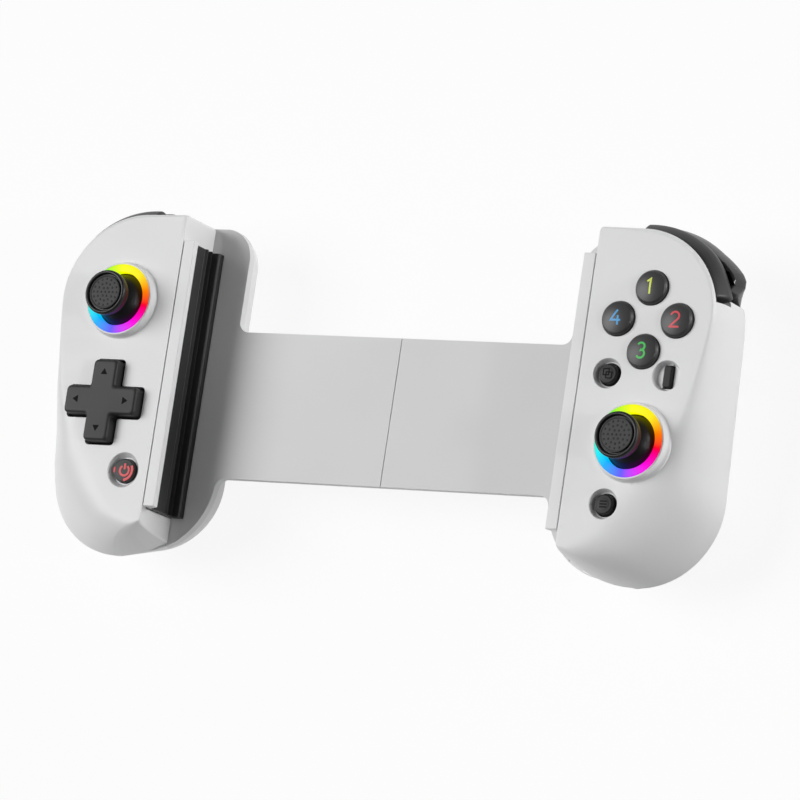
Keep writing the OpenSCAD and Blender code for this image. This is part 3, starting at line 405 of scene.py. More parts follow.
bridge_plastic = moulded("bridge_plastic", (0.7, 0.7, 0.7), 0.5, tint=0.02, depth=0.01)
for side, word in SIDES:
    channel = ((-1, CHANNEL_END[word]), CHANNEL_Y, CHANNEL_Z)
    deck = prism(f"{word}_bridge_deck", deck_outline(), DECK_LOW, DECK_Z, side)
    soften(deck, 0.25, segments=3, angle=60)
    cut(deck, block("seat", *SEAT, side))
    cut(deck, block("channel", *channel, side))
    add(deck, *(turned("peg", PEG, p, side, 32) for p in PEG_PLACES))
    finish_piece(deck, f"{word}_grip", bridge_plastic, "bridge_plastic", f"{word}_deck")
    tray = block(f"{word}_bridge_back", (0, TAIL_END), TRAY_Y, (TRAY_LOW, DECK_LOW), side)
    soften(tray, 0.5, segments=3)
    cut(tray, block("channel", *channel, side))
    if side < 0:
        add(tray, *(turned("post", SPRING_POST, (SPRING_POST_X, y), side, 32) for y in SPRING_Y))
    else:
        cut(tray, *(turned("bore", BAR_SCREW_BORE, p, side, 48) for p in BAR_SCREW_PLACES))
    finish_piece(tray, f"{word}_grip", bridge_plastic, "bridge_plastic", f"{word}_tray")


# Slider: the aluminium plate that carries the right grip, brushed along its length and screwed to the right
# tray, with pockets underneath for the two return springs and the flat cable.
SLIDER_X = (-93, 52)
POCKET_X, POCKET_Z = -94, (11.8, 15.55)
POCKETS = [(y, 3.4, -51.5) for y in SPRING_Y] + [(-5, 9, -4)]
THREAD_R, THREAD_TOP = 0.95, 15.4


def brushed(name, colour, roughness, stretch):
    """Metal with fine lines along one way, from the stretch of its noise on each axis."""
    material = moulded(name, colour, roughness, tint=0.06, metallic=1.0, depth=0.003)
    nodes = material.node_tree.nodes
    place = nodes.new("ShaderNodeTexCoord")
    lines = set_inputs(nodes.new("ShaderNodeMapping"), {"Scale": stretch})
    noise = set_inputs(nodes.new("ShaderNodeTexNoise"), {"Scale": 900})
    join(place, "Object", lines, "Vector")
    join(lines, "Vector", noise, "Vector")
    bump = next(n for n in nodes if n.type == "BUMP")
    join(noise, "Fac", bump, "Height")
    return material


aluminium = brushed("aluminium", (0.72, 0.72, 0.73), 0.34, (0.02, 1, 1))
slider_y, slider_z = ((low + GAP, high - GAP) for low, high in (CHANNEL_Y, CHANNEL_Z))
slider = block("slider_bar", SLIDER_X, slider_y, slider_z)
soften(slider, 0.3)
for y, width, end in POCKETS:
    cut(slider, block("pocket", (POCKET_X, end), (y - width / 2, y + width / 2), POCKET_Z))
cut(slider, *(rod("bore", THREAD_R, POCKET_Z[0], THREAD_TOP, p, 1, 32) for p in BAR_SCREW_PLACES))
finish_piece(slider, "right_grip", aluminium, "aluminium", "slider_plate")


# Hidden works: boards, battery, stick housings, switches, membranes, springs and the flat cable keep the
# shapes of their solids. Their finishes are glass-fibre board, shrink film, pressed steel, silicone and
# polyimide film.
steel = brushed("steel", (0.62, 0.62, 0.64), 0.3, (1, 1, 0.1))
black_plastic = moulded("black_plastic", (0.018, 0.018, 0.019), 0.45)
circuit_board = moulded("circuit_board", (0.03, 0.16, 0.08), 0.35, tint=0.3, cloud=600, grain=5000)
battery_film = moulded("battery_film", (0.35, 0.42, 0.5), 0.25, tint=0.1, cloud=90)
grey_rubber = moulded("grey_rubber", (0.32, 0.32, 0.33), 0.6, tint=0.05)
cable_film = moulded("cable_film", (0.32, 0.14, 0.03), 0.3, tint=0.1, cloud=300)


def dress(material, *nodes):
    """Gives solids that show as they are their finish."""
    for name in nodes:
        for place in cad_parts[name].material_slots:
            place.material = material


for side, word in SIDES:
    dress(steel, f"{word}_stick_housing", f"{word}_stick_yoke", f"{word}_stick_shaft")
    dress(steel, f"{word}_trigger_pin", f"{word}_trigger_spring")
    dress(black_plastic, f"{word}_switches", f"{word}_stick_carrier")
    dress(circuit_board, f"{word}_circuit_board")
dress(steel, "bridge_springs", "dpad_rocker")
dress(black_plastic, "dpad_bracket")
dress(battery_film, "battery")
dress(grey_rubber, "dpad_membrane", "button_membrane")
dress(cable_film, "flex_cable")


# Front shells: white mouldings with the flat face, a soft crease round it, a raised collar round the stick,
# holes for the buttons and bays for the shoulder keys. The wall turns tightly at the shoulder and softly at
# the palm, and the clamp rail slides into a slot in its inner side.
FACE_Z = 35
INNER_X = 67.8
OUTER_COLUMNS, INNER_COLUMNS = 170, 70
SHELL = [(INNER_X, 46, 1), (*SHOULDER, SHOULDER_R, 1), (*PALM, PALM_R, 1), (INNER_X, -45.8, 1)]
SHELL += [(x, y, 1) for x, y in arc(PALM[0], -18.8, 31.2, -95, -115, 4)]
FACE = [(INNER_X, 45.2, 1), (79.5, 20.5, 25, 1), (79.5, -2, 25, 1), (80, -14, 18.5, 1), (78, -24, 13, 1),
        (73, -34.5, 7, 1), (INNER_X, -42.2, 1)]
PALM_INSET, PALM_START, PALM_END = 7, (0, 0.2), (0.27, 0.4)
FLAT_INSET, FLAT_EDGE = 8, 0.35
SHOULDER_TURN, TURN_RUN = 30, (0.4, 0.6)
PALM_SHAPE, SHOULDER_SHAPE, SHAPE_RUN = 0.42, 0.18, (0.4, 0.3)
HOLLOW_LEVELS = ((0, 17), (0.25, 23.9), (0.58, 29.8), (1, 32.8))
FRONT_POST_R, FRONT_POST_Z, FRONT_BAY_R = 2.6, (16, 34), 23.2
STICKS = {"left": (84.06, 20.76), "right": (85.77, -13.81)}
COLLAR = [(0, 33.4), (11.8, 33.4), (11.8, 34.5), (11.6, 34.85), (11.25, 35.1), (10.95, 35.45), (10.83, 36),
          (10.8, 37.05), (10.72, 37.28), (10.55, 37.4), (0, 37.4)]
STICK_HOLE = [(0, 31), (8.9, 31), (8.9, 35.2), (10.25, 35.2), (10.25, 38), (0, 38)]
RAIL_SLOT = ((65.8, 69.5), (-39.45, 39.45), (17, 32.8))
DPAD, DPAD_HOLE, DPAD_HOLE_Z = (84.5, -9.4), (12.7, 4.85, 1.2, 0.6), (31, 36)
POWER, VIEW, MODE, MENU = (75, -29), (75.2, 5.3), (93.2, 5.3), (79.5, -31.2)
DISH_Z, POWER_DISH_R, KEY_DISH_R = (31.6, 34), 4.8, 4.2
WELL_FLOOR, POWER_WELL, KEY_WELL = 33, (5.1, 4, 3.65), (4.25, 3.55, 3.35)
MODE_WELL = (4.25, 3.55, 0.5)
MODE_HOLE = ((MODE[0] - 1.55, MODE[0] + 1.55), (MODE[1] - 3.35, MODE[1] + 3.35), (30, 34))
BUTTONS, BUTTON_REACH = (85.36, 20.75), 9
BUTTON_HOLE = [(0, 31), (5, 31), (5, 34.8), (5.06, 34.93), (5.2, 35.02), (5.3, 35.3), (0, 35.3)]
BUTTON_WAYS = {"top": (0, 1), "left": (-1, 0), "right": (1, 0), "bottom": (0, -1)}
BUTTON_PLACES = {word: (BUTTONS[0] + BUTTON_REACH * x, BUTTONS[1] + BUTTON_REACH * y)
                 for word, (x, y) in BUTTON_WAYS.items()}
SOCKET_X, SOCKET_Z, SOCKET_R, SOCKET_HALF = 73.7, 25.6, 1.75, 2.9
SOCKET_SLOT = arc(SOCKET_X + SOCKET_HALF, SOCKET_Z, SOCKET_R, -90, 90, 12)
SOCKET_SLOT += arc(SOCKET_X - SOCKET_HALF, SOCKET_Z, SOCKET_R, 90, 270, 12)
SOCKET_DEPTH = (41.7, 49)


def walk(points, count):
    """Points spread evenly along a path."""
    lengths = [0]
    for a, b in zip(points, points[1:]):
        lengths.append(lengths[-1] + (b - a).length)
    even, k = [], 0
    for i in range(count):
        want = lengths[-1] * i / (count - 1)
        while k < len(points) - 2 and lengths[k + 1] < want:
            k += 1
        share = (want - lengths[k]) / max(1e-9, lengths[k + 1] - lengths[k])
        even.append(points[k].lerp(points[k + 1], share))
    return even


def wrapped(discs, outer=OUTER_COLUMNS, inner=INNER_COLUMNS):
    """An outline whose outer side, from the palm's foot to the shoulder's top, is divided evenly."""
    side = [furthest(discs, math.radians(a / 2)) for a in range(-180, 181)]
    return walk(side, outer) + [furthest(discs, math.pi * (0.5 + (i + 0.5) / inner)) for i in range(inner)]


def front_levels(steps=24):
    """Rings of the front shell from the parting line up the wall, over the crease and onto the face."""
    rim, face = wrapped(SHELL), wrapped(FACE)
    palm, flat = wrapped(drawn_in(FACE, PALM_INSET)), wrapped(drawn_in(FACE, FLAT_INSET))
    along = [i / (OUTER_COLUMNS - 1) for i in range(OUTER_COLUMNS)]
    along += [1] * (INNER_COLUMNS // 2) + [0] * (INNER_COLUMNS // 2)
    crease = []
    for t, outer, inner in zip(along, face, palm):
        crease.append(outer.lerp(inner, ramp(t, *PALM_START) * (1 - ramp(t, *PALM_END))))
    flat = [Vector((c.x + FLAT_EDGE if c.x < INNER_X else f.x, f.y)) for c, f in zip(crease, flat)]
    rings = rim_levels(wrapped, SHELL, DECK_Z, LAND)[::-1]
    for k in range(1, steps + 1):
        rise = math.sin(math.pi / 2 * k / steps)
        ring = []
        for t, a, b in zip(along, rim, crease):
            power = SHOULDER_TURN ** ramp(t, *TURN_RUN)
            shape = PALM_SHAPE + SHOULDER_SHAPE * ramp(t, *SHAPE_RUN)
            share = 1 - (1 - rise ** power) ** shape
            ring.append(Vector((*a.lerp(b, share), DECK_Z + (FACE_Z - DECK_Z) * rise)))
        rings.append(ring)
    return rings + [level(flat, FACE_Z)]


def front_hollow(side):
    """The room inside a front shell, within its wall."""
    rim, top = (wrapped(drawn_in(discs, WALL), outer=54, inner=26) for discs in (SHELL, FACE))
    rings = [level([a.lerp(b, share) for a, b in zip(rim, top)], z) for share, z in HOLLOW_LEVELS]
    return skinned("hollow", close_columns(rings, most=6), side)


def shifted(path, place):
    return [(place[0] + x, place[1] + y) for x, y in path]


def quarter_turned(path, times):
    for _ in range(times):
        path = [(-y, x) for x, y in path]
    return path


def cross_outline(reach, arm, outer_r, inner_r, place=(0, 0), steps=6):
    """A cross seen from above, with round corners."""
    right_arm = arc(reach - outer_r, outer_r - arm, outer_r, -90, 0, steps)
    right_arm += arc(reach - outer_r, arm - outer_r, outer_r, 0, 90, steps)
    right_arm += arc(arm + inner_r, arm + inner_r, inner_r, 270, 180, steps)
    points = []
    for k in range(4):
        points += shifted(quarter_turned(right_arm, k), place)
    return points


def well(place, top_r, low_r, bore_r, side):
    """The sunk dish round a small button, with a softened edge, and the hole in its floor."""
    profile = [(0, 30), (bore_r, 30), (bore_r, WELL_FLOOR), (low_r, WELL_FLOOR), (top_r, 34.85),
               (top_r + 0.06, 34.95), (top_r + 0.18, 35.02), (top_r + 0.3, 35.3), (0, 35.3)]
    return turned("well", profile, place, side)


for side, word in SIDES:
    shell = skinned(f"{word}_face", close_columns(front_levels()), side)
    hollow = front_hollow(side)
    cut(hollow, *(rod("post", FRONT_POST_R, *FRONT_POST_Z, p, side) for p in SCREW_PLACES))
    dish_r, dishes = (POWER_DISH_R, (POWER,)) if side < 0 else (KEY_DISH_R, (VIEW, MODE, MENU))
    cut(hollow, *(rod("dish", dish_r, *DISH_Z, p, side, 64) for p in dishes))
    cut(shell, hollow, *key_bays(FRONT_BAY_R, side))
    add(shell, turned("collar", COLLAR, STICKS[word], side, 128))
    cut(shell, turned("stick_hole", STICK_HOLE, STICKS[word], side, 128))
    cut(shell, block("rail_slot", *RAIL_SLOT, side))
    if side < 0:
        cut(shell, prism("cross_hole", cross_outline(*DPAD_HOLE, DPAD), *DPAD_HOLE_Z, side))
        cut(shell, well(POWER, *POWER_WELL, side))
    else:
        cut(shell, *(turned("hole", BUTTON_HOLE, p, side) for p in BUTTON_PLACES.values()))
        cut(shell, well(VIEW, *KEY_WELL, side), well(MENU, *KEY_WELL, side), well(MODE, *MODE_WELL, side))
        cut(shell, block("key_hole", *MODE_HOLE, side))
        cut(shell, prism("socket_hole", SOCKET_SLOT, *SOCKET_DEPTH, side, "Y"))
    finish_piece(shell, f"{word}_grip", white_plastic, "white_shell", f"{word}_front_shell")


# Clamp rails: white bars with the lip that holds the phone's end. Each slides into the slot of its front
# shell. The ribbed pad under the lip is black rubber, pushed over the web of the rail.
LIP = [(62.9, 35), (66.5, 35), (66.5, 32.75), (68, 32.75), (68, 17.8), (66.2, 17.8), (66.2, 30.9),
       (64.4, 31.7), (62.9, 32.9)]
LIP_Y = (-39, 39.2)
PAD = [(66.2, 17.8), (63, 17.8), (63, 19.8), (63.5, 20.3), (65.8, 20.6), (65.8, 21.6), (64.5, 21.9),
       (64.3, 22.4), (65.8, 22.8), (65.8, 23.9), (64.4, 24.3), (64.2, 24.9), (65, 25.4), (65, 30.6),
       (66.2, 30.6)]
PAD_Y = (-39.15, 39.15)
black_rubber = moulded("black_rubber", (0.017, 0.017, 0.018), 0.5, tint=0.1, grain=4000)
for side, word in SIDES:
    rail = soften(prism(f"{word}_lip", LIP, *LIP_Y, side, "Y"), 0.25, segments=3, angle=30)
    finish_piece(rail, f"{word}_grip", white_plastic, "white_shell", f"{word}_clamp_rail")
    pad = soften(prism(f"{word}_pad", PAD, *PAD_Y, side, "Y"), 0.12, angle=30)
    finish_piece(pad, f"{word}_grip", black_rubber, "black_rubber", f"{word}_rubber_pad")


# Light rings: clear diffusers over a row of coloured lamps, glued into the collar round each stick.
# The colour runs once through the rainbow round the ring.
RING = [(7.9, 35.2), (10.2, 35.2), (10.2, 37.2), (10.05, 37.42), (9.8, 37.5), (8.3, 37.5), (8, 37.4),
        (7.9, 37.2)]
RING_HUES = ((-180, (0, 1, 0.45)), (-160, (0, 0.9, 0.9)), (-130, (0, 0.42, 1)), (-95, (0.12, 0.1, 1)),
             (-75, (0.6, 0.04, 1)), (-50, (1, 0, 0.8)), (-10, (1, 0, 0.02)), (15, (1, 0.2, 0)),
             (50, (1, 0.85, 0)), (90, (1, 1, 0)), (105, (0.7, 1, 0)), (135, (0.05, 1, 0.02)),
             (180, (0, 1, 0.45)))


def rainbow(name, place, side):
    """A glowing diffuser whose colour follows the angle about the stick."""
    material, nodes, shader = new_material(name)
    set_inputs(shader, {"Base Color": (0, 0, 0, 1), "Roughness": 0.4, "Specular IOR Level": 0.1,
                        "Emission Strength": 1})
    where = nodes.new("ShaderNodeTexCoord")
    centre = set_inputs(nodes.new("ShaderNodeMapping"),
                        {"Location": (-side * place[0] * MM, -(place[1] + RAIL_Y) * MM, 0)})
    turn = nodes.new("ShaderNodeTexGradient")
    turn.gradient_type = "RADIAL"
    hues = nodes.new("ShaderNodeValToRGB")
    stops = hues.color_ramp.elements
    while len(stops) < len(RING_HUES):
        stops.new(0.5)
    for stop, (angle, colour) in zip(stops, RING_HUES):
        stop.position = (angle + 180) / 360
        stop.color = (*colour, 1)
    join(where, "Object", centre, "Vector")
    join(centre, "Vector", turn, "Vector")
    join(turn, "Fac", hues, "Fac")
    join(hues, "Color", shader, "Emission Color")
    return material


for side, word in SIDES:
    ring = turned(f"{word}_ring_light", RING, STICKS[word], side, 128, True)
    glass = rainbow(f"{word}_rainbow", STICKS[word], side)
    finish_piece(ring, f"{word}_grip", glass, "light_ring", f"{word}_light_ring")


# Stick caps: black mouldings pushed onto the shafts. A dome closes the hole in the collar, and the head has
# a ridged side, a groove and a softer grey disc with rows of small dimples for grip. The dimples are painted
# near black, as painted shade for their hollows.
PIVOT_Z, DOME_R, DOME_WALL = 32, 8.3, 0.9
DOME_ARC, INSIDE_ARC = (10.4, 65.4), (77.5, 12.5, 16)
HEAD = [(3.4, 39.7), (3.4, 40.6), (3.7, 41), (5.3, 41.6), (5.9, 41.9), (6.15, 42.2), (6.1, 42.5),
        (6.3, 42.75), (6.42, 43.05), (6.38, 43.4), (6.5, 43.65), (6.55, 44.1), (6.55, 44.85), (6.42, 45.25),
        (6.15, 45.46), (5.85, 45.5), (5.6, 45.38), (5.45, 45), (5.3, 44.6), (0, 44.6)]
SHAFT_HOLE = [(0, 43), (1.6, 43)]
DISC = [(0, 44.5), (4.95, 44.5), (5, 44.7), (5, 45.15), (4.9, 45.3), (4.75, 45.34), (4.6, 45.28),
        (4.4, 45.08), (0, 45.05)]
DIMPLE_PITCH, DIMPLE_R, DIMPLE_Z = 1.28, 0.34, 45.08
DIMPLE_ROWS = (6, 12, 16)
stick_rubber = moulded("stick_rubber", (0.008, 0.008, 0.0085), 0.38, tint=0.1, grain=4000, specular=0.35)
disc_rubber = moulded("disc_rubber", (0.055, 0.055, 0.056), 0.6, tint=0.1, grain=4000, specular=0.3)
# Near black for the dimples: painted shade, standing in for the dark inside their hollows.
dimple_painted_shade = moulded("dimple_painted_shade", (0.008, 0.008, 0.008), 0.6)


def end_tree(tree, inlet, source, output):
    """Ends a tree of nodes by making its copies real and giving them their finish."""
    nodes = tree.nodes
    real = nodes.new("GeometryNodeRealizeInstances")
    finish = nodes.new("GeometryNodeSetMaterial")
    outlet = nodes.new("NodeGroupOutput")
    join(source, output, real, "Geometry")
    join(real, "Geometry", finish, "Geometry")
    join(inlet, "Finish", finish, "Material")
    join(finish, "Geometry", outlet, "Geometry")
    return tree


def dimple_tree():
    """Rows of dimples round the middle of a disc, each a pitch further out than the last."""
    tree = bpy.data.node_groups.new("dimples", "GeometryNodeTree")
    add_sockets(tree, "OUTPUT", {"Geometry": "Geometry"})
    add_sockets(tree, "INPUT", {"Pitch": "Float", "Radius": "Float", "Middle": "Vector",
                                "Finish": "Material"})
    nodes = tree.nodes
    inlet = nodes.new("NodeGroupInput")
    rows = nodes.new("GeometryNodeJoinGeometry")
    middle = set_inputs(nodes.new("GeometryNodeMeshLine"), {"Count": 1})
    join(middle, "Mesh", rows, "Geometry")
    for k, count in enumerate(DIMPLE_ROWS, 1):
        row = set_inputs(nodes.new("GeometryNodeMeshCircle"), {"Vertices": count})
        reach = math_node(nodes, "MULTIPLY", {1: k})
        join(inlet, "Pitch", reach, 0)
        join(reach, 0, row, "Radius")
        join(row, "Mesh", rows, "Geometry")
    dimple = set_inputs(nodes.new("GeometryNodeMeshUVSphere"), {"Segments": 12, "Rings": 6})
    flatten = set_inputs(nodes.new("GeometryNodeTransform"), {"Scale": (1, 1, 0.3)})
    spread = nodes.new("GeometryNodeInstanceOnPoints")
    move = nodes.new("GeometryNodeTransform")
    join(inlet, "Radius", dimple, "Radius")
    join(dimple, "Mesh", flatten, "Geometry")
    join(rows, "Geometry", spread, "Points")
    join(flatten, "Geometry", spread, "Instance")
    join(spread, "Instances", move, "Geometry")
    join(inlet, "Middle", move, "Translation")
    return end_tree(tree, inlet, move, "Geometry")


def grown(name, tree, values, start=None):
    """An object made by a tree of nodes from named values, as a plain mesh."""
    piece = new_object(name, start or bpy.data.meshes.new(name))
    modifier = piece.modifiers.new("nodes", "NODES")
    modifier.node_group = tree
    sockets = {s.name: s.identifier for s in tree.interface.items_tree if s.in_out == "INPUT"}
    for label, value in values.items():
        modifier[sockets[label]] = value
    return bake(piece)


dimples = dimple_tree()
for side, word in SIDES:
    stick = STICKS[word]
    profile = arc(0, PIVOT_Z, DOME_R, *DOME_ARC) + HEAD + SHAFT_HOLE
    profile += arc(0, PIVOT_Z, DOME_R - DOME_WALL, *INSIDE_ARC)
    cap = turned(f"{word}_stick_head", profile, stick, side, 96, True)
    finish_piece(cap, f"{word}_stick", stick_rubber, "stick_rubber", f"{word}_stick_cap", sharp=40)
    disc = turned(f"{word}_stick_disc", DISC, stick, side)
    finish_piece(disc, f"{word}_stick", disc_rubber, "stick_rubber")
    # The rows of dimples on the disc take the near black of the painted shade.
    middle = (side * stick[0] * MM, (stick[1] + RAIL_Y) * MM, DIMPLE_Z * MM)
    sizes = {"Pitch": DIMPLE_PITCH * MM, "Radius": DIMPLE_R * MM, "Middle": middle, "Finish": dimple_painted_shade}
    dots = grown(f"{word}_stick_dimples", dimples, sizes)
    finish_piece(dots, f"{word}_stick", dimple_painted_shade, "stick_rubber")


# Direction pad: one cross of dark plastic, domed at its edges, with a small dark arrow on each arm. Its stem
# rocks on the ring under the face. Each level has a height, a reach, half an arm's width and a corner radius.
DPAD_LEVELS = ((33.2, 12.1, 4.25, 1.3), (35, 12.05, 4.2, 1.3), (37.1, 11.95, 4.1, 1.3),
               (37.5, 11.88, 4.03, 1.3), (37.8, 11.72, 3.87, 1.25), (38, 11.5, 3.65, 1.1),
               (38.08, 11.2, 3.35, 0.9), (38.1, 10.8, 2.95, 0.6))
STEM_R, STEM_Z = 1.5, (29.8, 34)
ARROW, ARROW_Z = [(9.3, 0), (7.5, 1.1), (7.5, -1.1)], (38, 38.13)
dpad_plastic = moulded("dpad_plastic", (0.026, 0.026, 0.026), 0.5, tint=0.05, specular=0.3)
dpad_dark = moulded("dpad_dark", (0.004, 0.004, 0.004), 0.7, specular=0.1)
rings = []
for z, reach, arm, outer_r in DPAD_LEVELS:
    inner_r = 0.5 + arm * 0.1
    rings.append([(x, y, z) for x, y in cross_outline(reach, arm, outer_r, inner_r, DPAD)])
cross = skinned("dpad_top", rings, -1)
add(cross, rod("stem", STEM_R, *STEM_Z, DPAD, -1, 32))
finish_piece(cross, "dpad_cross", dpad_plastic, "dpad_plastic", "dpad_cross", sharp=50)
for k, word in enumerate(("right", "top", "left", "bottom")):
    arrow = shifted(quarter_turned(ARROW, k), (-DPAD[0], DPAD[1]))
    mark = prism(f"dpad_{word}_arrow", arrow, *ARROW_Z)
    finish_piece(mark, "dpad_cross", dpad_dark, "dpad_plastic")


# Small buttons: the power button on the left, and the view, mode and menu keys on the right. Each is a short
# plastic plunger in a sunk well, held by a flange under the face. All but the mode key have a printed mark.
# The power button also has a red glow painted along its lower-right edge, with a small painted spot at its
# left.
FLANGE_Z, KEY_TOP = (30.3, 31.4), 34.8
POWER_R, KEY_R = 3.45, 2.85
PRINT_STEP, PRINT_PROUD, PRINT_DEPTH = 0.35, 0.03, 0.08
POWER_ARC, POWER_BAR, POWER_LINE = arc(0.4, -0.1, 1.5, 125, 415), [(0.4, 1.95), (0.4, 0.2)], 0.62
# Painted glow on the power button: a red arc along its lower-right edge, and a short red spot at its left.
GLOW_ARC, GLOW_LINE = arc(0, 0, 2.95, -80, 28), 0.75
GLOW_SPOT_ARC, GLOW_SPOT_LINE = arc(0, 0, 3, 165, 195), 0.55
SQUARE, SQUARE_LINE = [(-0.85, -0.85), (0.85, -0.85), (0.85, 0.85), (-0.85, 0.85)], 0.3
SQUARE_PLACES = ((-0.45, 0.45), (0.45, -0.45))
MENU_BARS, MENU_LINE = [[(-1.1, y), (1.1, y)] for y in (0, -0.8, 0.8)], 0.35
MODE_CORNERS = ((0.55, -2.35), (0.55, 2.35), (-0.55, 2.35), (-0.55, -2.35))
MODE_LEVELS = ((31, 0.8), (33.5, 0.8), (33.95, 0.72), (34.2, 0.55), (34.3, 0.25))
MODE_FLANGE_R = 4.15
power_grey = moulded("power_grey", (0.045, 0.048, 0.047), 0.5, specular=0.3)
key_black = moulded("key_black", (0.012, 0.012, 0.0125), 0.5, specular=0.3)
# Red for the printed power mark, and also for the glow painted on the power button.
red_print_and_glow = moulded("red_print_and_glow", (0.75, 0.06, 0.07), 0.5)
print_dark = moulded("print_dark", (0.002, 0.002, 0.002), 0.6, specular=0.1)


def plunger(name, place, r, side):
    """A round key with its flange, a softened edge and a fine groove round its top."""
    low, high = FLANGE_Z
    profile = [(0, low), (r + 1, low), (r + 1, high), (r, high), (r, 34.35), (r - 0.08, 34.58),
               (r - 0.3, 34.72), (r - 0.7, 34.76), (r - 0.85, 34.72), (r - 1, 34.76), (r * 0.4, KEY_TOP),
               (0, KEY_TOP)]
    return turned(name, profile, place, side)


def stroke(name, path, width, height, closed=False):
    """A printed or painted line along a path in X and Y, laid on a surface whose height is a function of the
    place.
    """
    points = []
    count = len(path)
    for i in range(count if closed else count - 1):
        a, b = Vector(path[i]), Vector(path[(i + 1) % count])
        steps = max(1, math.ceil((b - a).length / PRINT_STEP))
        points += [a.lerp(b, k / steps) for k in range(steps)]
    if not closed:
        points.append(Vector(path[-1]))
    rings = []
    total = len(points)
    for i, p in enumerate(points):
        before = points[i - 1] if closed or i else p
        after = points[(i + 1) % total] if closed or i < total - 1 else p
        into, out = p - before, after - p
        into = into.normalized() if into.length else out.normalized()
        out = out.normalized() if out.length else into
        way = (into + out).normalized()
        across = Vector((-way.y, way.x)) * (width / 2 / max(0.5, way.dot(out)))
        left, right = p + across, p - across
        left_top, right_top = height(left) + PRINT_PROUD, height(right) + PRINT_PROUD
        rings.append([(*left, left_top), (*right, right_top), (*right, right_top - PRINT_DEPTH),
                      (*left, left_top - PRINT_DEPTH)])
    return skinned(name, rings, 1, closed)


def printed(name, place, height, width, *paths, closed=False):
    """A printed mark or a painted glow, of one or more lines about a place."""
    lines = [stroke(name, shifted(path, place), width, height, closed) for path in paths]
    return add(*lines)


def flat_top(point):
    return KEY_TOP


power = plunger("power_cap", POWER, POWER_R, -1)
finish_piece(power, "power_button", power_grey, "power_plastic", "power_button")
centre = (-POWER[0], POWER[1])
mark = printed("power_mark", centre, flat_top, POWER_LINE, POWER_ARC, POWER_BAR)
finish_piece(mark, "power_button", red_print_and_glow, "power_plastic")
# A red glow painted on the power button: an arc along its lower-right edge and a small spot at its left.
glow = printed("power_glow", centre, flat_top, GLOW_LINE, GLOW_ARC)
add(glow, printed("spot", centre, flat_top, GLOW_SPOT_LINE, GLOW_SPOT_ARC))
finish_piece(glow, "power_button", red_print_and_glow, "power_plastic")
for name, place in (("view", VIEW), ("menu", MENU)):
    key = plunger(f"{name}_cap", place, KEY_R, 1)
    finish_piece(key, f"{name}_button", key_black, "key_plastic", f"{name}_button")
squares = [shifted(SQUARE, place) for place in SQUARE_PLACES]
mark = printed("view_mark", VIEW, flat_top, SQUARE_LINE, *squares, closed=True)
finish_piece(mark, "view_button", print_dark, "key_plastic")
mark = printed("menu_mark", MENU, flat_top, MENU_LINE, *MENU_BARS)
finish_piece(mark, "menu_button", print_dark, "key_plastic")
rings = []
for z, r in MODE_LEVELS:
    ring = []
    for k, (x, y) in enumerate(MODE_CORNERS):
        ring += [(*p, z) for p in arc(MODE[0] + x, MODE[1] + y, r, 90 * k - 90, 90 * k, 6)]
    rings.append(ring)
key = skinned("mode_cap", rings)
add(key, rod("flange", MODE_FLANGE_R, *FLANGE_Z, MODE, 1, 64))
finish_piece(key, "mode_button", key_black, "key_plastic", "mode_button")


# Face buttons: four domed caps of black plastic with a chamfered edge, each pushed back up by a rubber dome.
# A plain numeral is printed on each one, in its own colour.
BUTTON_TOP, BUTTON_CURVE, NUMERAL_LINE = 37, 28, 0.55
BUTTON_SIDE = [(0, 31.2), (5.6, 31.2), (5.6, 32.6), (4.8, 32.6), (4.8, 35.55), (4.76, 35.75), (4.66, 35.92),
               (4.36, 36.22)]
NUMERALS = {
    "top": ((0.72, 0.83, 0.1), [[(-0.85, 1.35), (0.15, 2.1), (0.15, -2.1)]]),
    "right": ((0.72, 0.062, 0.08), [arc(0, 0.85, 1.25, 165, -40, 20) + [(-1.3, -2.1), (1.4, -2.1)]]),
    "bottom": ((0.06, 0.58, 0.1), [arc(0, 1.02, 1.08, 150, -85, 18) + arc(0, -0.95, 1.2, 80, -150, 20)]),
    "left": ((0.07, 0.36, 0.72), [[(0.35, 2.1), (-1.45, -0.8), (1.5, -0.8)], [(0.65, 0.5), (0.65, -2.1)]]),
}
button_black = moulded("button_black", (0.04, 0.04, 0.041), 0.4, specular=0.4)


def dome_height(x, y):
    """Height of a button's dome at a place about its middle."""
    return BUTTON_TOP - (x ** 2 + y ** 2) / BUTTON_CURVE


for word, place in BUTTON_PLACES.items():
    dome = [(r, dome_height(r, 0)) for r in (4.25, 4, 3.5, 3, 2.4, 1.6, 0.8, 0)]
    cap = turned(f"{word}_cap", BUTTON_SIDE + dome, place)
    finish_piece(cap, f"{word}_button", button_black, "button_plastic", f"{word}_button", sharp=25)

    def dome_top(point, place=place):
        return dome_height(point[0] - place[0], point[1] - place[1])

    colour, paths = NUMERALS[word]
    mark = printed(f"{word}_numeral", place, dome_top, NUMERAL_LINE, *paths)
    finish_piece(mark, f"{word}_button", moulded(f"{word}_print", colour, 0.5), "button_plastic")


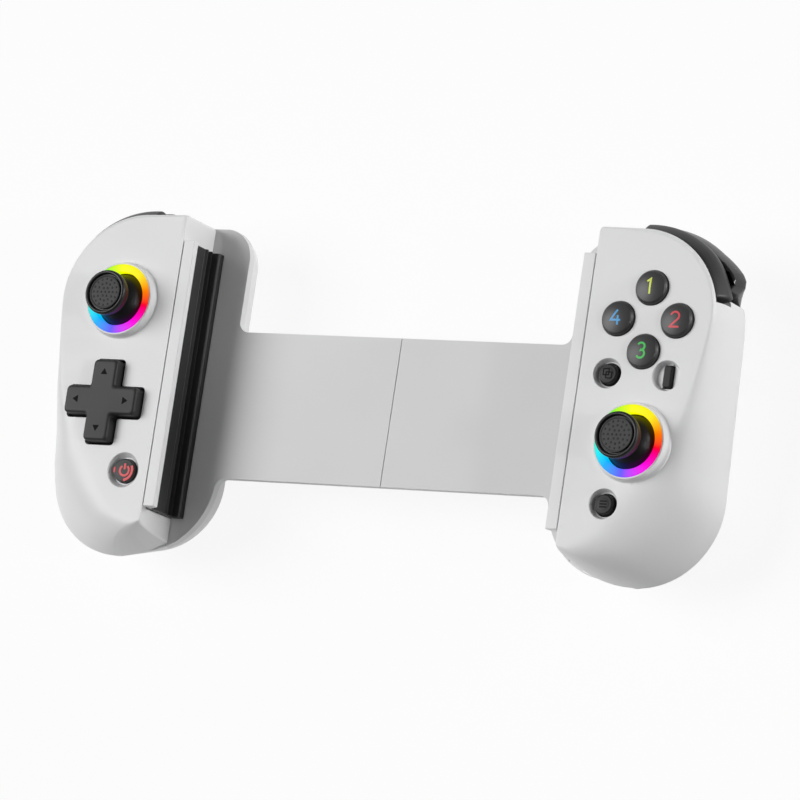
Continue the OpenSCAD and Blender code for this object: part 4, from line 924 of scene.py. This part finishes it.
# Shoulder keys: a slim bumper over a deep trigger on each side, hinged together on a steel pin at their inner
# ends. The bumper is satin black; the trigger is polished and flares out at its tip, with a hollow for the
# fingertip and a slot for its spring's leg. Their sections are radii about the shoulder's middle and heights.
BUMPER = [(24.3, 27), (28.7, 27), (29, 27.3), (29.1, 27.9), (29.1, 29), (28.85, 29.9), (28.1, 31),
          (27.1, 32.2), (26.2, 33.1), (25.5, 33.5), (24.3, 33.5)]
BUMPER_TIP_R, BUMPER_RISE, BUMPER_TAPER = 28, 1.1, (20, 30)
TRIGGER = [(23.6, 12.8), (24.3, 12.8), (24.8, 13.4), (26.3, 16), (28.2, 19), (29.5, 20.8), (29.95, 21.6),
           (29.9, 22.4), (29.5, 24.2), (28.9, 26), (28.6, 26.45), (28.2, 26.6), (23.6, 26.6)]
FLARE = ((25, 28), (27, 30.2), (30, 31.1), (34, 31.2), (39.5, 30.8), (45, 30.4), (50, 30.1), (55, 30))
BUMPER_START, TRIGGER_START, KEY_END = 18.5, 25, 92.5
KEY_TIP, KEY_TUCK = [(0, 0.86), (0.35, 0.95), (1, 1)], 0.4
FINGER_HOLLOW, FINGER_Z = [(27.4, 39.5), (29.2, 35.5), (29.1, 27), (26.7, 30.5)], (24.8, 28)
PIN, PIN_HOLE_R, EYE_R = (81.5, 42.5), 1.05, 2.4
BUMPER_EYE_Z, TRIGGER_EYE_Z = (27.3, 32.4), (15.8, 26.3)
SPRING_POCKET = [(0, 11), (2.6, 11), (2.6, 16), (PIN_HOLE_R, 16), (PIN_HOLE_R, 28), (0, 28)]
SPRING_LEG = ((83, 88.2), (41, 43.4), (14.2, 15.5))
bumper_satin = moulded("bumper_satin", (0.028, 0.028, 0.029), 0.42, specular=0.4)
gloss_black = moulded("gloss_black", (0.018, 0.018, 0.0185), 0.28, tint=0.0, depth=0.001, specular=0.45)


def trigger_reach(angle):
    """Outer radius of the trigger, which flares out near its tip."""
    for (a, r), (b, s) in zip(FLARE, FLARE[1:]):
        if angle <= b:
            return r + (s - r) * max(0, angle - a) / (b - a)
    return FLARE[-1][1]


def bumper_reach(angle):
    """Outer radius of the bumper, which tapers towards its free end."""
    return BUMPER_TIP_R + BUMPER_RISE * ramp(angle, *BUMPER_TAPER)


def swept(name, section, start, end, reach, side, steps=90):
    """A section carried round the shoulder, with softened ends; reach is its outer radius at an angle."""
    inner = section[0][0]
    outer = max(r for r, z in section)
    middle = sum(z for r, z in section) / len(section)
    turns = [(start + t, share) for t, share in KEY_TIP]
    turns += [(start + 1 + (end - start - 2) * k / steps, 1) for k in range(1, steps)]
    turns += [(end - t, share) for t, share in reversed(KEY_TIP)]
    rings = []
    for angle, share in turns:
        stretch = (reach(angle) - inner) / (outer - inner)
        ring = []
        for r, z in section:
            r = inner + (r - inner) * stretch
            r = inner + (r - inner) * share + KEY_TUCK * (1 - share)
            ring.append((*around(*SHOULDER, r, angle), middle + (z - middle) * share))
        rings.append(ring)
    return skinned(name, rings, side)


for side, word in SIDES:
    bumper = swept(f"{word}_bumper_bar", BUMPER, BUMPER_START, KEY_END, bumper_reach, side)
    add(bumper, rod("eye", EYE_R, *BUMPER_EYE_Z, PIN, side))
    cut(bumper, rod("bore", PIN_HOLE_R, 26, 34, PIN, side, 32))
    finish_piece(bumper, f"{word}_bumper", bumper_satin, "black_plastic", f"{word}_bumper")
    trigger = swept(f"{word}_trigger_lever", TRIGGER, TRIGGER_START, KEY_END, trigger_reach, side, 120)
    hollow = [around(*SHOULDER, r, angle) for r, angle in FINGER_HOLLOW]
    cut(trigger, prism("hollow", hollow, *FINGER_Z, side))
    soften(trigger, 0.2, 2, 50)
    add(trigger, rod("eye", EYE_R, *TRIGGER_EYE_Z, PIN, side))
    cut(trigger, turned("pocket", SPRING_POCKET, PIN, side, 48))
    cut(trigger, block("spring_leg", *SPRING_LEG, side))
    finish_piece(trigger, f"{word}_trigger", gloss_black, "gloss_black", f"{word}_trigger")


# Charging socket: a drawn steel shell, soldered to the right board behind the slot in the end of the grip.
# It keeps the shape of its solid.
dress(steel, "charge_socket")


# Screws: small steel pan heads with a cross recess. The long ones hold the shells together from behind, and
# the short ones fix the slider to the back of the bridge.
LONG_SCREW, SHORT_SCREW = (2.2, 1.6, 1, 15), (1.7, 0.8, 0.9, 3.2)
BAR_SCREW_SEAT, SCREW_TURN = 12.1, 0.7


def screw_shape(name, head_r, head_t, shank_r, length):
    """One screw with its head down, standing on the middle of its head's underside."""
    profile = [(0, -head_t), (head_r - 0.35, -head_t), (head_r - 0.1, -head_t + 0.12),
               (head_r, -head_t + 0.4), (head_r, 0), (shank_r, 0), (shank_r, length - 0.6), (0.2, length),
               (0, length)]
    screw = turned(name, profile, (0, -RAIL_Y), 1, 32)
    half, arm = head_r * 0.6, head_r * 0.16
    recess = cross_outline(half, arm, arm * 0.4, arm * 0.3, (0, -RAIL_Y), 2)
    return cut(screw, prism("recess", recess, -head_t - 1, -head_t + min(0.9, head_t * 0.55)))


def screw_tree():
    """A screw at each point of a list of places, each turned a little further than the last."""
    tree = bpy.data.node_groups.new("screws", "GeometryNodeTree")
    add_sockets(tree, "OUTPUT", {"Geometry": "Geometry"})
    add_sockets(tree, "INPUT", {"Geometry": "Geometry", "Screw": "Object", "Turn": "Float",
                                "Finish": "Material"})
    nodes = tree.nodes
    inlet = nodes.new("NodeGroupInput")
    shape = nodes.new("GeometryNodeObjectInfo")
    spread = nodes.new("GeometryNodeInstanceOnPoints")
    number = nodes.new("GeometryNodeInputIndex")
    angle = math_node(nodes, "MULTIPLY")
    turn = nodes.new("ShaderNodeCombineXYZ")
    join(inlet, "Screw", shape, "Object")
    join(inlet, "Geometry", spread, "Points")
    join(shape, "Geometry", spread, "Instance")
    join(number, "Index", angle, 0)
    join(inlet, "Turn", angle, 1)
    join(angle, 0, turn, "Z")
    join(turn, "Vector", spread, "Rotation")
    return end_tree(tree, inlet, spread, "Instances")


screws = screw_tree()


def fixed_with(name, body, places, shape, z, side, node):
    """A group of like screws, seated at places at one height."""
    start = bpy.data.meshes.new(name)
    start.from_pydata([(side * x * MM, (y + RAIL_Y) * MM, z * MM) for x, y in places], [], [])
    piece = grown(name, screws, {"Screw": shape, "Turn": SCREW_TURN, "Finish": steel}, start)
    finish_piece(piece, body, steel, "steel", node)


long_screw = screw_shape("long_screw", *LONG_SCREW)
for side, word in SIDES:
    fixed_with(f"{word}_case_screws", f"{word}_grip", SCREW_PLACES, long_screw, SCREW_SEAT, side,
               f"{word}_shell_screws")
short_screw = screw_shape("short_screw", *SHORT_SCREW)
fixed_with("bar_screws", "right_grip", BAR_SCREW_PLACES, short_screw, BAR_SCREW_SEAT, 1, "slider_screws")
bpy.data.objects.remove(long_screw)
bpy.data.objects.remove(short_screw)


# Studio: a pale floor that keeps the shadow, a broad soft lamp from the upper left, a weak one from the
# right, a narrow one on the inner side of the left grip, and a long lens from the front right. The lamps and
# the camera have their places in metres.
FLOOR_REACH, FLOOR_Z, FLOOR_GLOW = 4000, -0.3, 0.9
WORLD_LIGHT = 0.12
CAMERA_PLACE, CAMERA_TURN = (0.748687, -0.279367, 1.334472), (14.95355, 27.68572, 9.42497)
LENS, SENSOR = 244.54, 36
corners = [(x * FLOOR_REACH, y * FLOOR_REACH, FLOOR_Z) for x, y in ((-1, -1), (1, -1), (1, 1), (-1, 1))]
floor = mesh_object("floor", corners, [(0, 1, 2, 3)])
floor_white, nodes, matt = new_material("floor_white")
set_inputs(matt, {"Base Color": (0.95, 0.95, 0.95, 1), "Roughness": 0.9})
glow = nodes.new("ShaderNodeEmission")
ray = nodes.new("ShaderNodeLightPath")
seen = math_node(nodes, "MAXIMUM")
clear = math_node(nodes, "MAXIMUM")
share = math_node(nodes, "MULTIPLY", {1: FLOOR_GLOW})
mix = nodes.new("ShaderNodeMixShader")
join(ray, "Is Camera Ray", seen, 0)
join(ray, "Is Glossy Ray", seen, 1)
join(seen, 0, clear, 0)
join(ray, "Is Transmission Ray", clear, 1)
join(clear, 0, share, 0)
join(share, 0, mix, "Fac")
join(matt, "BSDF", mix, 1)
join(glow, "Emission", mix, 2)
join(mix, "Shader", nodes["Material Output"], "Surface")
floor.data.materials.append(floor_white)

world = bpy.data.worlds.new("studio")
bpy.context.scene.world = world
world.use_nodes = True
set_inputs(world.node_tree.nodes["Background"], {"Color": (1, 1, 1, 1), "Strength": WORLD_LIGHT})


def lamp(name, kind, place, aim, power):
    """A lamp of one kind at a place, turned towards a point."""
    data = bpy.data.lights.new(name, kind)
    data.energy = power
    piece = new_object(name, data)
    piece.location = place
    piece.rotation_euler = (Vector(aim) - Vector(place)).to_track_quat("-Z", "Y").to_euler()
    return data


key_lamp = lamp("key_lamp", "SUN", place=(-1.25, 0.1, 1.42), aim=(0, 0, 0), power=2.48)
key_lamp.angle = math.radians(38)
side_lamp = lamp("side_lamp", "AREA", place=(2.05, 0.75, 0.14), aim=(0, 0, 0.02), power=28)
side_lamp.size = 0.4
inner_lamp = lamp("inner_lamp", "SPOT", place=(1.1, -0.1, 0.6), aim=(-0.07, 0, 0.02), power=28)
inner_lamp.spot_size = math.radians(6.6)
inner_lamp.spot_blend = 0.4
inner_lamp.shadow_soft_size = 0.12

camera_data = bpy.data.cameras.new("camera")
camera_data.sensor_width = SENSOR
camera_data.lens = LENS
camera_data.clip_end = 20
camera = new_object("camera", camera_data)
turn = Euler([math.radians(angle) for angle in CAMERA_TURN])
camera.matrix_world = Matrix.LocRotScale(Vector(CAMERA_PLACE), turn, None)
bpy.context.scene.camera = camera
bpy.context.scene.view_settings.view_transform = "Standard"
